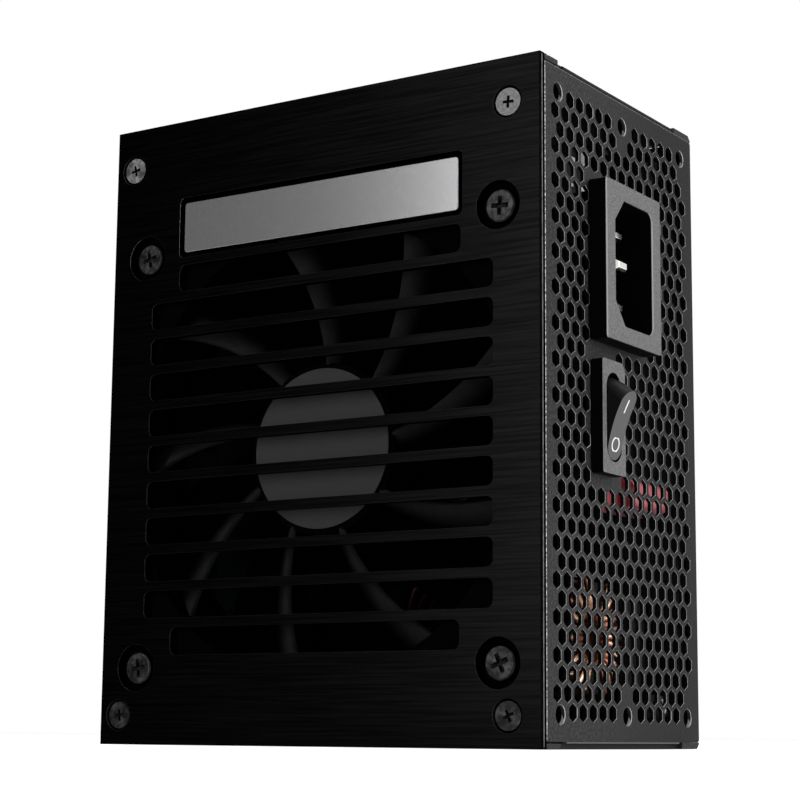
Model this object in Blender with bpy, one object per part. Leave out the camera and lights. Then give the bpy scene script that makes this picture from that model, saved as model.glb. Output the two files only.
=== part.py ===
"""Compact computer power supply, standing on one end.

The fan face looks along -Y, the rear panel with the mains inlet along +X,
the cable sockets along -X and the base along +Y. Z runs up the long side.
The origin is the centre of the end that the case stands on. Units are metres.
"""

import math

import bmesh
import bpy
from mathutils import Matrix, Vector

# Case
DEPTH = 0.100
HEIGHT = 0.0635
WIDTH = 0.125
COVER_SHEET = 0.0010
TRAY_SHEET = 0.0008
PANEL_SHEET = 0.0008
BEND = 0.0016
SEAT = 0.0003
TAB_DEPTH = 0.0050
WALL_SETBACK = 0.0011
PANEL_CHAMFER = 0.0016
FLANGE_DEPTH = 0.0050
FLANGE_LENGTH = HEIGHT - 0.0180
FLANGE_STEP = 0.0001
TRAY_LIP_GAP = 0.0005
SIDE_LIP = 0.0080
SIDE_LIP_LENGTH = DEPTH - 0.020

# Fan
FAN_SIZE = min(DEPTH - 0.0080, WIDTH - 0.0330)
FAN_THICKNESS = 0.015
FAN_HOLE_PITCH = FAN_SIZE - 0.0095
FAN_CORNER = 0.0045
FAN_HEIGHT = WIDTH / 2 - 0.0064
FAN_BORE = FAN_SIZE - 0.0026
FAN_DUCT_WALL = 0.0011
FAN_RIM = 0.0028
FAN_POST = 0.0078
TIP_GAP = 0.0007
COVER_OPENING = FAN_BORE - 0.0004
HUB_DIAMETER = 0.033
HUB_WALL = 0.0014
HUB_SINK = 0.0009
HUB_LENGTH = 0.0102
HUB_CHAMFER = 0.0004
ROTOR_STEPS = 27
DISC_DIAMETER = HUB_DIAMETER - 0.0020
DISC = 0.0003
BLADE_COUNT = 9
BLADE = 0.0012
BLADE_START = math.radians(87.5)
BLADE_SWEEP = math.radians(653)
BLADE_CHORD = math.radians(35)
BLADE_SINK = 0.0011
BLADE_DEPTH = 0.0088
BLADE_SPANS = 3
BLADE_CURVE = 0.25
BLADE_THINNING = 0.55
SEAT_DISC = HUB_DIAMETER - 0.0010
SEAT_DISC_THICKNESS = 0.0025
STRUT_COUNT = 4
STRUT_WIDTH = 0.0032
STRUT_TURN = math.radians(20)
SHAFT_DIAMETER = 0.003
BEARING_WALL = 0.0008
TUBE_WALL = 0.0010
MAGNET = 0.0020
MAGNET_LENGTH = 0.0070
MAGNET_GAP = 0.0009
STATOR = 0.0045
STATOR_DIAMETER = HUB_DIAMETER - 2 * (HUB_WALL + SEAT + MAGNET + MAGNET_GAP)
STATOR_POLES = 4
STATOR_NECK = 0.0015
STATOR_WAIST = 1.75
STATOR_HEAD = math.radians(36)
STATOR_ROOT = math.radians(24)
BORE_STEPS = 40

# Front plate, its slots and its badge
PLATE = 0.0015
SLOT_COUNT = 11
SLOT_PITCH = (FAN_SIZE - 0.0197) / (SLOT_COUNT - 1)
SLOT_HEIGHT = SLOT_PITCH - 0.00183
SLOT_LENGTH = FAN_SIZE - 0.0121
SHORT_SLOT_LENGTH = FAN_HOLE_PITCH - 0.0164
SLOT_CORNER = 0.0014
SLOT_SHIFT = 0.0003
BADGE_LENGTH = FAN_HOLE_PITCH - 0.0179
BADGE_HEIGHT = 0.0102
BADGE_CORNER = 0.0007
BADGE_MARGIN = 0.00105
BADGE_RISE = FAN_SIZE / 2 + 0.0006
BADGE_SINK = 0.00025

# Screws: head diameter, head height, shank diameter, length under the head
FAN_SCREW = (0.0066, 0.0009, 0.0034, 0.0080)
PLATE_SCREW = (0.0052, 0.0012, 0.0026, 0.0025)
COVER_SCREW = (0.0050, 0.0012, 0.0026, 0.0030)
BOARD_SCREW = (0.0052, 0.0016, 0.0025, 0.0026)
SCREW_PLAY = 0.0003
SCREW_STEPS = 8
PAN_TOP = 0.36
PAN_EDGE = 0.35
FAN_SCREW_CLEARANCE = 0.0092
PLATE_SCREW_RECESS = 0.0061
PLATE_SCREW_SINK = 0.00030
PLATE_SCREW_LEFT = 0.0046 - DEPTH / 2
PLATE_SCREW_RIGHT = DEPTH / 2 - 0.0068
PLATE_SCREW_LOW = 0.0057
PLATE_SCREW_HIGH = WIDTH - 0.0085
COVER_SCREW_REACH = DEPTH / 2 - 0.017
COVER_SCREW_UP = 0.0060
COVER_SCREW_SINK = 0.0001
TAPPED_DEPTH = 0.003

# Levels across the unit, from the fan face to the base
REAR = DEPTH / 2
FRONT = -DEPTH / 2
FAN_FACE = -HEIGHT / 2
BASE_FACE = HEIGHT / 2
MIDDLE = WIDTH / 2
COVER_FACE = FAN_FACE + PLATE + SEAT
COVER_INSIDE = COVER_FACE + COVER_SHEET
PANEL_EDGE = COVER_INSIDE + SEAT
PANEL_LOW = COVER_SHEET + SEAT
PANEL_HIGH = WIDTH - PANEL_LOW
PANEL_FACE = REAR + SEAT
FAN_NEAR = COVER_INSIDE + SEAT
FAN_FAR = FAN_NEAR + FAN_THICKNESS
HUB_FACE = FAN_NEAR + HUB_SINK
FAN_AXIS = Vector((0, 0, FAN_HEIGHT))
BASE_INSIDE = BASE_FACE - TRAY_SHEET
BOARD = 0.0016
BOARD_RAISE = 0.0016
BOARD_FACE = BASE_INSIDE - BOARD_RAISE - BOARD
PART_FOOT = BOARD_FACE - SEAT

# Mains inlet
INLET_SIDE = FAN_FAR + 0.01105
INLET_UP = WIDTH - 0.0351
INLET_FLANGE = (0.0225, 0.0305)
INLET_FLANGE_HEIGHT = 0.0038
INLET_CORNER = 0.0008
INLET_CAVITY = (0.01535, 0.0241)
INLET_CHAMFER = (0.0038, 0.0044)
INLET_CAVITY_CORNER = 0.0018
INLET_CAVITY_DEPTH = 0.0165
INLET_WALL = 0.0017
INLET_FLOOR = 0.0020
PIN_PITCH = 0.014
PIN_WIDTH = 0.004
PIN_THICKNESS = 0.002
PIN_SHIFT = 0.0012
EARTH_SHIFT = -0.0028
PIN_SINK = 0.0040
EARTH_SINK = 0.0010
PIN_TAIL = 0.0046

# Mains switch
SWITCH_SIDE = FAN_FAR + 0.00495
SWITCH_UP = INLET_UP - 0.0294
BEZEL = (0.0090, 0.02125)
BEZEL_HEIGHT = 0.00235
BEZEL_CORNER = 0.0012
SWITCH_OPENING = (0.0060, 0.0167)
SWITCH_WALL = 0.0008
SWITCH_LENGTH = 0.0123
SWITCH_FLOOR = 0.0050
ROCKER_SIDE_GAP = 0.0003
ROCKER_TIP = 0.0066
ROCKER_RISE = 0.0053
ROCKER_DISH = 0.0290
ROCKER_SHOULDER = (0.00755, 0.0026)
ROCKER_WAIST = 0.00795
ROCKER_FOOT = (0.0044, -0.0022)
ROCKER_OVER = 0.0006
ROCKER_TILT = math.radians(19)
PIVOT_BORE = 0.0010
PIVOT_SINK = 0.00045
PIVOT_DIAMETER = 0.0020
ROCKER_AXIS = Vector((REAR - PIVOT_SINK, SWITCH_SIDE, SWITCH_UP))
TAG = (0.0008, 0.0048, 0.0070)
TAG_PITCH = 0.0100

# Rear panel
HEX_PITCH = 0.00381
HEX_ROW = 0.00330
HEX_ACROSS = 0.00290
HEX_ROWS = 2 * math.floor((WIDTH / 2 - 0.0060) / HEX_ROW) + 1
HEX_WIDE_ROW = 2 * math.floor((HEIGHT / 2 - 0.0044) / HEX_PITCH) + 1
HEX_SHIFT = 0.00065
HEX_SIDE_WEB = 0.00165
HEX_END_WEB = 0.00270
MOUNT_HOLE = 0.0035
MOUNT_SHIFT = 0.00075
MOUNT_WEB = 0.00206
MOUNT_SIDE = HEIGHT / 2 - 0.0060
MOUNT_REACH = WIDTH / 2 - 0.0060

# Boards
BOARD_LENGTH = DEPTH - 0.0040
BOARD_WIDTH = WIDTH - 0.0060
BOARD_SHIFT = -0.0005
BOSS_DIAMETER = 0.0068
BOARD_SCREW_X = (0.020 - DEPTH / 2, DEPTH / 2 - 0.007)
BOARD_SCREW_REACH = BOARD_WIDTH / 2 - 0.0050
INSULATOR = 0.0003
INSULATOR_HOLE = 0.0076
MODULAR_BOARD_GAP = 0.0008
MODULAR_BOARD_WIDTH = WIDTH - 0.0150

# Cable sockets, with the columns of each in the two rows
CELL_PITCH = 0.0042
CELL = 0.0034
SOCKET_RIM = 0.0007
SOCKET_DEPTH = 0.0117
SOCKET_FLOOR = 0.0100
SOCKET_LATCH = (0.0040, 0.0014)
SOCKET_GAP = 0.0042
MAIN_ROW_SIDE = PART_FOOT - 0.01445
MAIN_ROW = (("socket_main_18", 9), ("socket_main_10", 5),
            ("socket_drive_6_1", 3), ("socket_drive_6_2", 3))
POWER_ROW_SIDE = FAN_FAR + 0.00765
POWER_ROW = (("socket_power_8_1", 4), ("socket_power_8_2", 4),
             ("socket_power_8_3", 4), ("socket_power_8_4", 4))

# Parts on the main board: middle along X and Z, then their own sizes
FILM_PLACE = (0.0410, SWITCH_UP - 0.0115)
FILM_SIZE = (0.0080, 0.0067, 0.0165)
CHOKE_PLACE = (0.0350, 0.0210, PART_FOOT - 0.02045)
CHOKE_DIAMETERS = (0.0220, 0.0120)
CHOKE_LENGTH = 0.0090
CHOKE_WIRE = 0.0011
CHOKE_WOUND = math.radians(150)
CORE_STEPS = 16
CHOKE_BASE = (0.0110, 0.0180)
TRANSFORMER_PLACE = (-0.0080, WIDTH * 0.496)
CORE_SIZE = (0.0340, 0.0280, 0.0120)
CORE_LEG = 0.0090
CORE_WINDOW = (0.0065, 0.0190)
WINDING_BULGE = 0.0058
SINK_SIZE = (0.0460, 0.0030, 0.0330)
SINK_FINS = 5
SINK_FIN = (0.0016, 0.0050)
PRIMARY_SINK = (0.0020, WIDTH * 0.656)
SECONDARY_SINK = (-0.0060, WIDTH * 0.304)
CAN_DIAMETER = 0.0260
CAN_HEIGHT = 0.0340
CAN_GROOVE = 0.0006
CAN_GAP = 0.0010
CAN_PLACE = (-0.0040, PRIMARY_SINK[1] + SINK_SIZE[1] + SINK_FIN[1] + CAN_GAP + CAN_DIAMETER / 2)
COIL_PLACE = (-0.0080, 0.0190)
COIL_DIAMETERS = (0.0270, 0.0130)
COIL_HEIGHT = 0.0120
COIL_WOUND = math.radians(310)

# The fan's lead: its ends along X and Z, and its course as shares of the way and of the depth
LEAD_DIAMETER = 0.0024
LEAD_START = (FAN_SIZE * 0.315, FAN_HEIGHT + FAN_SIZE * 0.4228)
LEAD_END = (0.0260, WIDTH - 0.0120)
LEAD_COURSE = ((0.0, 0.0), (0.0, 0.10), (0.444, 0.30), (0.833, 0.55), (1.0, 0.85), (1.0, 1.0))
LEAD_POINTS = 14


def material(name, colour, roughness, metallic=0.0):
    made = bpy.data.materials.new(name)
    made.use_nodes = True
    shader = made.node_tree.nodes["Principled BSDF"]
    shader.inputs["Base Color"].default_value = (*colour, 1)
    shader.inputs["Roughness"].default_value = roughness
    shader.inputs["Metallic"].default_value = metallic
    made.diffuse_color = (*colour, 1)
    return made


def clear_scene():
    for thing in list(bpy.data.objects):
        bpy.data.objects.remove(thing)


# Where a flat outline lies: u and v across the face, level along its normal
def fan_side(u, v, level):
    return Vector((u, level, v))


def rear_side(u, v, level):
    return Vector((level, u, v))


def end_side(u, v, level):
    return Vector((u, v, level))


# Outlines, as lists of (u, v) points
def arc(u, v, radius, start, end, steps):
    angles = [start + (end - start) * i / steps for i in range(steps + 1)]
    return [(u + radius * math.cos(a), v + radius * math.sin(a)) for a in angles]


def circle(u, v, diameter, steps, start=0.0):
    return arc(u, v, diameter / 2, start, start + 2 * math.pi, steps)[:-1]


def rectangle(u, v, width, height, corner=0.0, steps=2):
    """A rectangle round its middle, with rounded corners if corner is given."""
    a, b = width / 2, height / 2
    if not corner:
        return [(u - a, v - b), (u + a, v - b), (u + a, v + b), (u - a, v + b)]
    a, b = a - corner, b - corner
    corners = ((a, b, 0), (-a, b, 1), (-a, -b, 2), (a, -b, 3))
    quarter = math.pi / 2
    return [point for x, y, turn in corners
            for point in arc(u + x, v + y, corner, turn * quarter, (turn + 1) * quarter, steps)]


def stadium(u, v, width, height, steps=6):
    reach = height / 2 - width / 2
    top = arc(u, v + reach, width / 2, 0, math.pi, steps)
    return top + arc(u, v - reach, width / 2, math.pi, 2 * math.pi, steps)


def bent_section(path, sheet, bend, steps=3):
    """The cross-section of a sheet bent at each right angle of path, its outer line."""
    points = [Vector(point) for point in path]
    runs = [(b - a).normalized() for a, b in zip(points, points[1:])]
    outer, inner = [points[0]], [points[0] + runs[1] * sheet]
    for corner, before, after in zip(points[1:], runs, runs[1:]):
        centre = corner - before * bend + after * bend
        for i in range(steps + 1):
            turn = math.pi / 2 * i / steps
            out = before * math.sin(turn) - after * math.cos(turn)
            outer.append(centre + out * bend)
            inner.append(centre + out * (bend - sheet))
    outer.append(points[-1])
    inner.append(points[-1] - runs[-2] * sheet)
    return [tuple(point) for point in outer + inner[::-1]]


# Solids
def finish(bm, name, surface, pivot=None, smooth=None):
    """Makes the object, closed and facing out, with its origin at pivot."""
    bmesh.ops.recalc_face_normals(bm, faces=bm.faces)
    if pivot:
        bmesh.ops.translate(bm, verts=bm.verts, vec=-pivot)
    mesh = bpy.data.meshes.new(name)
    bm.to_mesh(mesh)
    bm.free()
    mesh.materials.append(surface)
    if smooth:
        mesh.shade_smooth()
        mesh.set_sharp_from_angle(angle=smooth)
    made = bpy.data.objects.new(name, mesh)
    made.location = pivot or (0, 0, 0)
    bpy.context.scene.collection.objects.link(made)
    return made


def ring_of(bm, place, points, level):
    verts = [bm.verts.new(place(u, v, level)) for u, v in points]
    return verts, [bm.edges.new(pair) for pair in zip(verts, verts[1:] + verts[:1])]


def wall_between(bm, first, second):
    for i, vert in enumerate(first[0]):
        bm.faces.new((first[0][i - 1], vert, second[0][i], second[0][i - 1]))


def cap(bm, rings):
    edges = [edge for _, edges in rings for edge in edges]
    bmesh.ops.triangle_fill(bm, use_beauty=True, edges=edges)


def layered(name, surface, place, profile, holes=(), pockets=(), **options):
    """A solid built up in layers from flat outlines.

    profile lists (outline, level): the same level twice makes a step, and a new
    level a wall. holes go right through, as (near outline, far outline), and
    pockets start at the first level, as (outline, floor level).
    """
    bm = bmesh.new()
    rings = [ring_of(bm, place, points, level) for points, level in profile]
    for i in range(len(rings) - 1):
        if profile[i][1] == profile[i + 1][1]:
            cap(bm, rings[i:i + 2])
        else:
            wall_between(bm, rings[i], rings[i + 1])
    near, far = [rings[0]], [rings[-1]]
    for near_points, far_points in holes:
        ends = (ring_of(bm, place, near_points, profile[0][1]),
                ring_of(bm, place, far_points, profile[-1][1]))
        wall_between(bm, *ends)
        near.append(ends[0])
        far.append(ends[1])
    for points, floor in pockets:
        ends = ring_of(bm, place, points, profile[0][1]), ring_of(bm, place, points, floor)
        wall_between(bm, *ends)
        cap(bm, [ends[1]])
        near.append(ends[0])
    cap(bm, near)
    cap(bm, far)
    return finish(bm, name, surface, **options)


def sheet(name, surface, place, outline, near, far, holes=(), **options):
    """A flat sheet with straight holes."""
    through = [(hole, hole) for hole in holes]
    return layered(name, surface, place, [(outline, near), (outline, far)], through, **options)


def turned(name, surface, centre, axis, profile, steps, closed=False, **options):
    """A solid of revolution, from (radius, distance along the axis) points."""
    bm = bmesh.new()
    axis = Vector(axis).normalized()
    side = axis.orthogonal().normalized()
    verts = [bm.verts.new(centre + side * radius + axis * along) for radius, along in profile]
    pairs = list(zip(verts, verts[1:])) + ([(verts[-1], verts[0])] if closed else [])
    edges = [bm.edges.new(pair) for pair in pairs]
    bmesh.ops.spin(bm, geom=verts + edges, cent=centre, axis=axis,
                   angle=2 * math.pi, steps=steps, use_merge=True)
    bmesh.ops.remove_doubles(bm, verts=bm.verts, dist=1e-6)
    return finish(bm, name, surface, **options)


def several(name, surface, pieces):
    """Joins solids that don't touch into one helper object for a Boolean."""
    bm = bmesh.new()
    for piece in pieces:
        bm.from_mesh(piece.data)
        bpy.data.objects.remove(piece)
    return finish(bm, name, surface)


def boolean(target, tool, operation="DIFFERENCE"):
    modifier = target.modifiers.new(tool.name, "BOOLEAN")
    modifier.object = tool
    modifier.operation = operation
    modifier.solver = "EXACT"
    tool.hide_render = True
    tool.display_type = "WIRE"


def on_axis(name, place, children):
    """Hangs moving pieces on an empty that lies on their joint's axis."""
    empty = bpy.data.objects.new(name, None)
    empty.location = place
    bpy.context.scene.collection.objects.link(empty)
    for child in children:
        child.parent = empty
        child.matrix_parent_inverse = Matrix.Translation(place).inverted()


# Screws
def pan_screw(name, surface, size, centre, axis):
    """A pan-head screw whose head bears at centre and whose shank runs along axis."""
    head, height, shank, length = size
    profile = [(0, -height), (head * PAN_TOP, -height), (head / 2, -height * PAN_EDGE),
               (head / 2, 0), (shank / 2, 0), (shank / 2, length), (0, length)]
    return turned(name, surface, centre, axis, profile, SCREW_STEPS, smooth=math.radians(50))


def flat_screw(name, surface, size, centre, axis):
    """A countersunk screw whose flat head ends at centre."""
    head, height, shank, length = size
    profile = [(0, 0), (head / 2, 0), (shank / 2, height), (shank / 2, length), (0, length)]
    return turned(name, surface, centre, axis, profile, SCREW_STEPS, smooth=math.radians(50))


def fan_screw_places():
    reach = FAN_HOLE_PITCH / 2
    return [(x, FAN_HEIGHT + z) for z in (reach, -reach) for x in (-reach, reach)]


def plate_screw_places():
    return [(x, z) for z in (PLATE_SCREW_HIGH, PLATE_SCREW_LOW)
            for x in (PLATE_SCREW_LEFT, PLATE_SCREW_RIGHT)]


def cover_screw_places():
    y = BASE_FACE - COVER_SCREW_UP
    return [(x, y, z, 1 if z == 0 else -1)
            for z in (0, WIDTH) for x in (-COVER_SCREW_REACH, COVER_SCREW_REACH)]


def board_screw_places():
    return [(x, MIDDLE + z) for z in (-BOARD_SCREW_REACH, BOARD_SCREW_REACH)
            for x in BOARD_SCREW_X]


# Case
def slot_outlines():
    middle = (SLOT_COUNT - 1) / 2
    outlines = []
    for i in range(SLOT_COUNT):
        length = SHORT_SLOT_LENGTH if i in (0, SLOT_COUNT - 1) else SLOT_LENGTH
        outlines.append(rectangle(SLOT_SHIFT, FAN_HEIGHT + (i - middle) * SLOT_PITCH,
                                  length, SLOT_HEIGHT, SLOT_CORNER))
    return outlines


def badge_outline(margin=0.0):
    return rectangle(SLOT_SHIFT, FAN_HEIGHT + BADGE_RISE, BADGE_LENGTH + 2 * margin,
                     BADGE_HEIGHT + 2 * margin, BADGE_CORNER + margin / 2)


def front_plate(surface):
    holes = [(outline, outline) for outline in slot_outlines()]
    for x, z in fan_screw_places():
        outline = circle(x, z, FAN_SCREW_CLEARANCE, 18)
        holes.append((outline, outline))
    for x, z in plate_screw_places():
        inner = PLATE_SCREW[2] + 2 * SCREW_PLAY
        holes.append((circle(x, z, PLATE_SCREW_RECESS, 14), circle(x, z, inner, 14)))
    holes.append((badge_outline(BADGE_MARGIN), badge_outline(BADGE_MARGIN)))
    edge = rectangle(0, MIDDLE, DEPTH, WIDTH)
    return layered("front_plate", surface, fan_side,
                   [(edge, FAN_FACE), (edge, FAN_FACE + PLATE)], holes)


def badge_plate(surface):
    return sheet("badge_plate", surface, fan_side, badge_outline(),
                 FAN_FACE + BADGE_SINK, COVER_FACE - SEAT)


def fan_cover(surface):
    """A U of sheet: the web carries the fan, and the two walls close the ends."""
    section = bent_section([(BASE_FACE, 0), (COVER_FACE, 0), (COVER_FACE, WIDTH),
                            (BASE_FACE, WIDTH)], COVER_SHEET, BEND)
    cover = sheet("fan_cover", surface, rear_side, section, FRONT, REAR)
    through = (COVER_FACE - COVER_SHEET, COVER_INSIDE + COVER_SHEET)
    opening = circle(0, FAN_HEIGHT, COVER_OPENING, BORE_STEPS)
    cuts = [sheet("opening", surface, fan_side, opening, *through)]
    holes = [(place, FAN_SCREW) for place in fan_screw_places()]
    holes += [(place, PLATE_SCREW) for place in plate_screw_places()]
    for (x, z), size in holes:
        outline = circle(x, z, size[2] + 2 * SCREW_PLAY, 10)
        cuts.append(sheet("hole", surface, fan_side, outline, *through))
    boolean(cover, several("cover_web_cuts", surface, cuts))
    cuts = []
    shelf = COVER_FACE + TAB_DEPTH
    for end in (REAR, FRONT):
        outline = rectangle(end, (shelf + BASE_FACE + TAB_DEPTH) / 2, 2 * WALL_SETBACK,
                            BASE_FACE + TAB_DEPTH - shelf)
        for z in (0, WIDTH):
            cuts.append(sheet("setback", surface, end_side, outline,
                              z - BEND * 2, z + BEND * 2))
    boolean(cover, several("cover_setbacks", surface, cuts))
    head, height, shank, _ = COVER_SCREW
    cuts = []
    for x, y, z, inward in cover_screw_places():
        wide = head / 2 + 2 * SCREW_PLAY
        narrow = shank / 2 + SCREW_PLAY
        profile = [(0, -COVER_SHEET), (wide, -COVER_SHEET), (wide, 0), (narrow, height),
                   (narrow, height + COVER_SHEET), (0, height + COVER_SHEET)]
        cuts.append(turned("sink", surface, Vector((x, y, z)), (0, 0, inward), profile, 12))
    boolean(cover, several("cover_screw_cuts", surface, cuts))
    return cover


def socket_places():
    """Each cable socket's columns, its rise from the middle and its side."""
    places = {}
    for row, side in ((MAIN_ROW, MAIN_ROW_SIDE), (POWER_ROW, POWER_ROW_SIDE)):
        widths = [columns * CELL_PITCH + 2 * SOCKET_RIM for _, columns in row]
        start = -(sum(widths) + SOCKET_GAP * (len(row) - 1)) / 2
        for (name, columns), width in zip(row, widths):
            places[name] = (columns, start + width / 2, side)
            start += width + SOCKET_GAP
    return places


def socket_outline(columns, side, rise, margin=0.0):
    """The outline of a cable socket with its latch ledge, seen from outside."""
    half = columns * CELL_PITCH / 2 + SOCKET_RIM + margin
    tall = CELL_PITCH + SOCKET_RIM + margin
    latch, ledge = SOCKET_LATCH
    latch = latch / 2 + margin
    y, z = side, MIDDLE + rise
    return [(y - tall, z - half), (y + tall, z - half), (y + tall, z - latch),
            (y + tall + ledge, z - latch), (y + tall + ledge, z + latch),
            (y + tall, z + latch), (y + tall, z + half), (y - tall, z + half)]


def chassis_tray(surface):
    """The base and the socket panel, bent from one sheet, with side lips for the cover."""
    section = bent_section([(-FAN_SIZE / 2 - TRAY_LIP_GAP, PANEL_EDGE), (FRONT, PANEL_EDGE),
                            (FRONT, BASE_FACE), (REAR - PANEL_SHEET - SEAT, BASE_FACE)],
                           TRAY_SHEET, BEND)
    tray = sheet("chassis_tray", surface, end_side, section, PANEL_LOW, PANEL_HIGH)
    lips = []
    y = BASE_FACE - SIDE_LIP / 2 - TRAY_SHEET / 2
    outline = rectangle(0, y, SIDE_LIP_LENGTH, SIDE_LIP)
    for outer, inward in ((PANEL_LOW + FLANGE_STEP, 1), (PANEL_HIGH - FLANGE_STEP, -1)):
        lips.append(sheet("lip", surface, end_side, outline, outer, outer + inward * TRAY_SHEET))
    boolean(tray, several("tray_lips", surface, lips), "UNION")
    bosses = [sheet("boss", surface, fan_side, circle(x, z, BOSS_DIAMETER, 12),
                    BASE_INSIDE - BOARD_RAISE + SEAT, BASE_FACE - TRAY_SHEET / 2)
              for x, z in board_screw_places()]
    boolean(tray, several("tray_bosses", surface, bosses), "UNION")
    cuts = [sheet("tapped", surface, fan_side,
                  circle(x, z, BOARD_SCREW[2] + 2 * SCREW_PLAY, 8),
                  BASE_INSIDE - 2 * BOARD_RAISE, BASE_FACE + TRAY_SHEET)
            for x, z in board_screw_places()]
    for x, y, z, inward in cover_screw_places():
        outline = circle(x, y, COVER_SCREW[2] + 2 * SCREW_PLAY, 8)
        start = z + inward * COVER_SHEET
        cuts.append(sheet("tapped", surface, end_side, outline, start, start + inward * TAPPED_DEPTH))
    for columns, rise, side in socket_places().values():
        outline = socket_outline(columns, side, rise, SEAT)
        cuts.append(sheet("window", surface, rear_side, outline,
                          FRONT - TRAY_SHEET, FRONT + 2 * TRAY_SHEET))
    boolean(tray, several("tray_cuts", surface, cuts))
    return tray


def inlet_body(margin=0.0):
    width, height = INLET_CAVITY
    grow = 2 * (INLET_WALL + margin)
    return rectangle(INLET_SIDE, INLET_UP, width + grow, height + grow, INLET_CORNER, 1)


def switch_body_outline(margin=0.0):
    width, height = SWITCH_OPENING
    grow = 2 * (SWITCH_WALL + margin)
    return rectangle(SWITCH_SIDE, SWITCH_UP, width + grow, height + grow, INLET_CORNER, 1)


def mount_places():
    """The six tapped holes that hold the unit in a computer case."""
    return [(MOUNT_SHIFT + i * MOUNT_SIDE, MIDDLE + j * MOUNT_REACH)
            for i in (-1, 0, 1) for j in (-1, 1)]


def hexagon_outlines():
    """The honeycomb, without the holes that the screws, inlet and switch take up."""
    kept = []
    corner_to_corner = HEX_ACROSS / math.cos(math.pi / 6)
    blocks = [inlet_body(SEAT), switch_body_outline(SEAT)]
    for row in range(HEX_ROWS):
        columns = HEX_WIDE_ROW - (row + 1) % 2
        z = MIDDLE + (row - (HEX_ROWS - 1) / 2) * HEX_ROW
        for column in range(columns):
            y = HEX_SHIFT + (column - (columns - 1) / 2) * HEX_PITCH
            blocked = any(min(u for u, _ in cut) - HEX_SIDE_WEB < y
                          < max(u for u, _ in cut) + HEX_SIDE_WEB
                          and min(v for _, v in cut) - HEX_END_WEB < z
                          < max(v for _, v in cut) + HEX_END_WEB
                          for cut in blocks)
            near_screw = any(math.hypot(y - a, z - b) < MOUNT_HOLE / 2 + MOUNT_WEB
                             for a, b in mount_places())
            if not blocked and not near_screw:
                kept.append(circle(y, z, corner_to_corner, 6, math.pi / 6))
    return kept


def rear_panel(surface):
    """The honeycomb panel, with a bent flange along the ends and under the cover."""
    a, b, c = PANEL_EDGE, BASE_FACE, PANEL_CHAMFER
    outline = [(a, PANEL_LOW), (b - c, PANEL_LOW), (b, PANEL_LOW + c),
               (b, PANEL_HIGH - c), (b - c, PANEL_HIGH), (a, PANEL_HIGH)]
    holes = hexagon_outlines()
    holes += [circle(y, z, MOUNT_HOLE, 12) for y, z in mount_places()]
    holes += [inlet_body(SEAT), switch_body_outline(SEAT)]
    panel = sheet("rear_panel", surface, rear_side, outline, REAR, REAR - PANEL_SHEET, holes)
    inner = REAR - FLANGE_DEPTH
    outer = REAR - PANEL_SHEET / 2
    middle = (inner + outer) / 2
    flanges = []
    for edge, inward in ((PANEL_LOW + FLANGE_STEP, 1), (PANEL_HIGH - FLANGE_STEP, -1)):
        flanges.append(sheet("flange", surface, end_side,
                             rectangle(middle, 0, outer - inner, FLANGE_LENGTH),
                             edge, edge + inward * PANEL_SHEET))
    boolean(panel, several("panel_flanges", surface, flanges), "UNION")
    return panel


# Fan
def fan_frame(surface):
    x, z, far = 0, FAN_HEIGHT, FAN_FAR
    bore = circle(x, z, FAN_BORE, BORE_STEPS)
    screws = [circle(a, b, FAN_SCREW[2] + 2 * SCREW_PLAY, 8) for a, b in fan_screw_places()]
    square = rectangle(x, z, FAN_SIZE, FAN_SIZE, FAN_CORNER)
    frame = sheet("fan_frame", surface, fan_side, square, FAN_NEAR, FAN_NEAR + FAN_RIM,
                  [bore] + screws)
    rim = sheet("far_rim", surface, fan_side, square, far - FAN_RIM, far, [bore] + screws)
    boolean(frame, rim, "UNION")
    overlap = FAN_RIM / 2
    posts = [sheet("post", surface, fan_side, circle(a, b, FAN_POST, 10),
                   FAN_NEAR + overlap, far - overlap,
                   [circle(a, b, FAN_SCREW[2] + 2 * SCREW_PLAY, 8)])
             for a, b in fan_screw_places()]
    boolean(frame, several("frame_posts", surface, posts), "UNION")
    duct = sheet("frame_duct", surface, fan_side,
                 circle(x, z, FAN_BORE + 2 * FAN_DUCT_WALL, BORE_STEPS),
                 FAN_NEAR + overlap, far - overlap, [bore])
    boolean(frame, duct, "UNION")
    inside = SHAFT_DIAMETER + 2 * (SEAT + BEARING_WALL + SEAT)
    tube = inside + 2 * TUBE_WALL
    step = far - SEAT_DISC_THICKNESS
    seat = layered("frame_seat", surface, fan_side,
                   [(circle(x, z, tube, 16), HUB_FACE + HUB_WALL + 2 * SHAFT_DIAMETER / 3),
                    (circle(x, z, tube, 16), step), (circle(x, z, SEAT_DISC, 24), step),
                    (circle(x, z, SEAT_DISC, 24), far)],
                   pockets=[(circle(x, z, inside, 16), far - TUBE_WALL)])
    boolean(frame, seat, "UNION")
    struts = []
    for i in range(STRUT_COUNT):
        turn = math.radians(45) + i * 2 * math.pi / STRUT_COUNT
        across = Vector((-math.sin(turn), math.cos(turn))) * STRUT_WIDTH / 2
        root = Vector((math.cos(turn), math.sin(turn))) * (SEAT_DISC / 2 - STRUT_WIDTH / 2)
        lean = turn + STRUT_TURN
        tip = Vector((math.cos(lean), math.sin(lean))) * (FAN_BORE + FAN_DUCT_WALL) / 2
        middle = Vector((x, z))
        outline = [tuple(middle + p) for p in (root - across, tip - across, tip + across,
                                               root + across)]
        struts.append(sheet("strut", surface, fan_side, outline,
                            step + FLANGE_STEP, far - FLANGE_STEP))
    boolean(frame, several("frame_struts", surface, struts), "UNION")
    return frame


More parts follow.
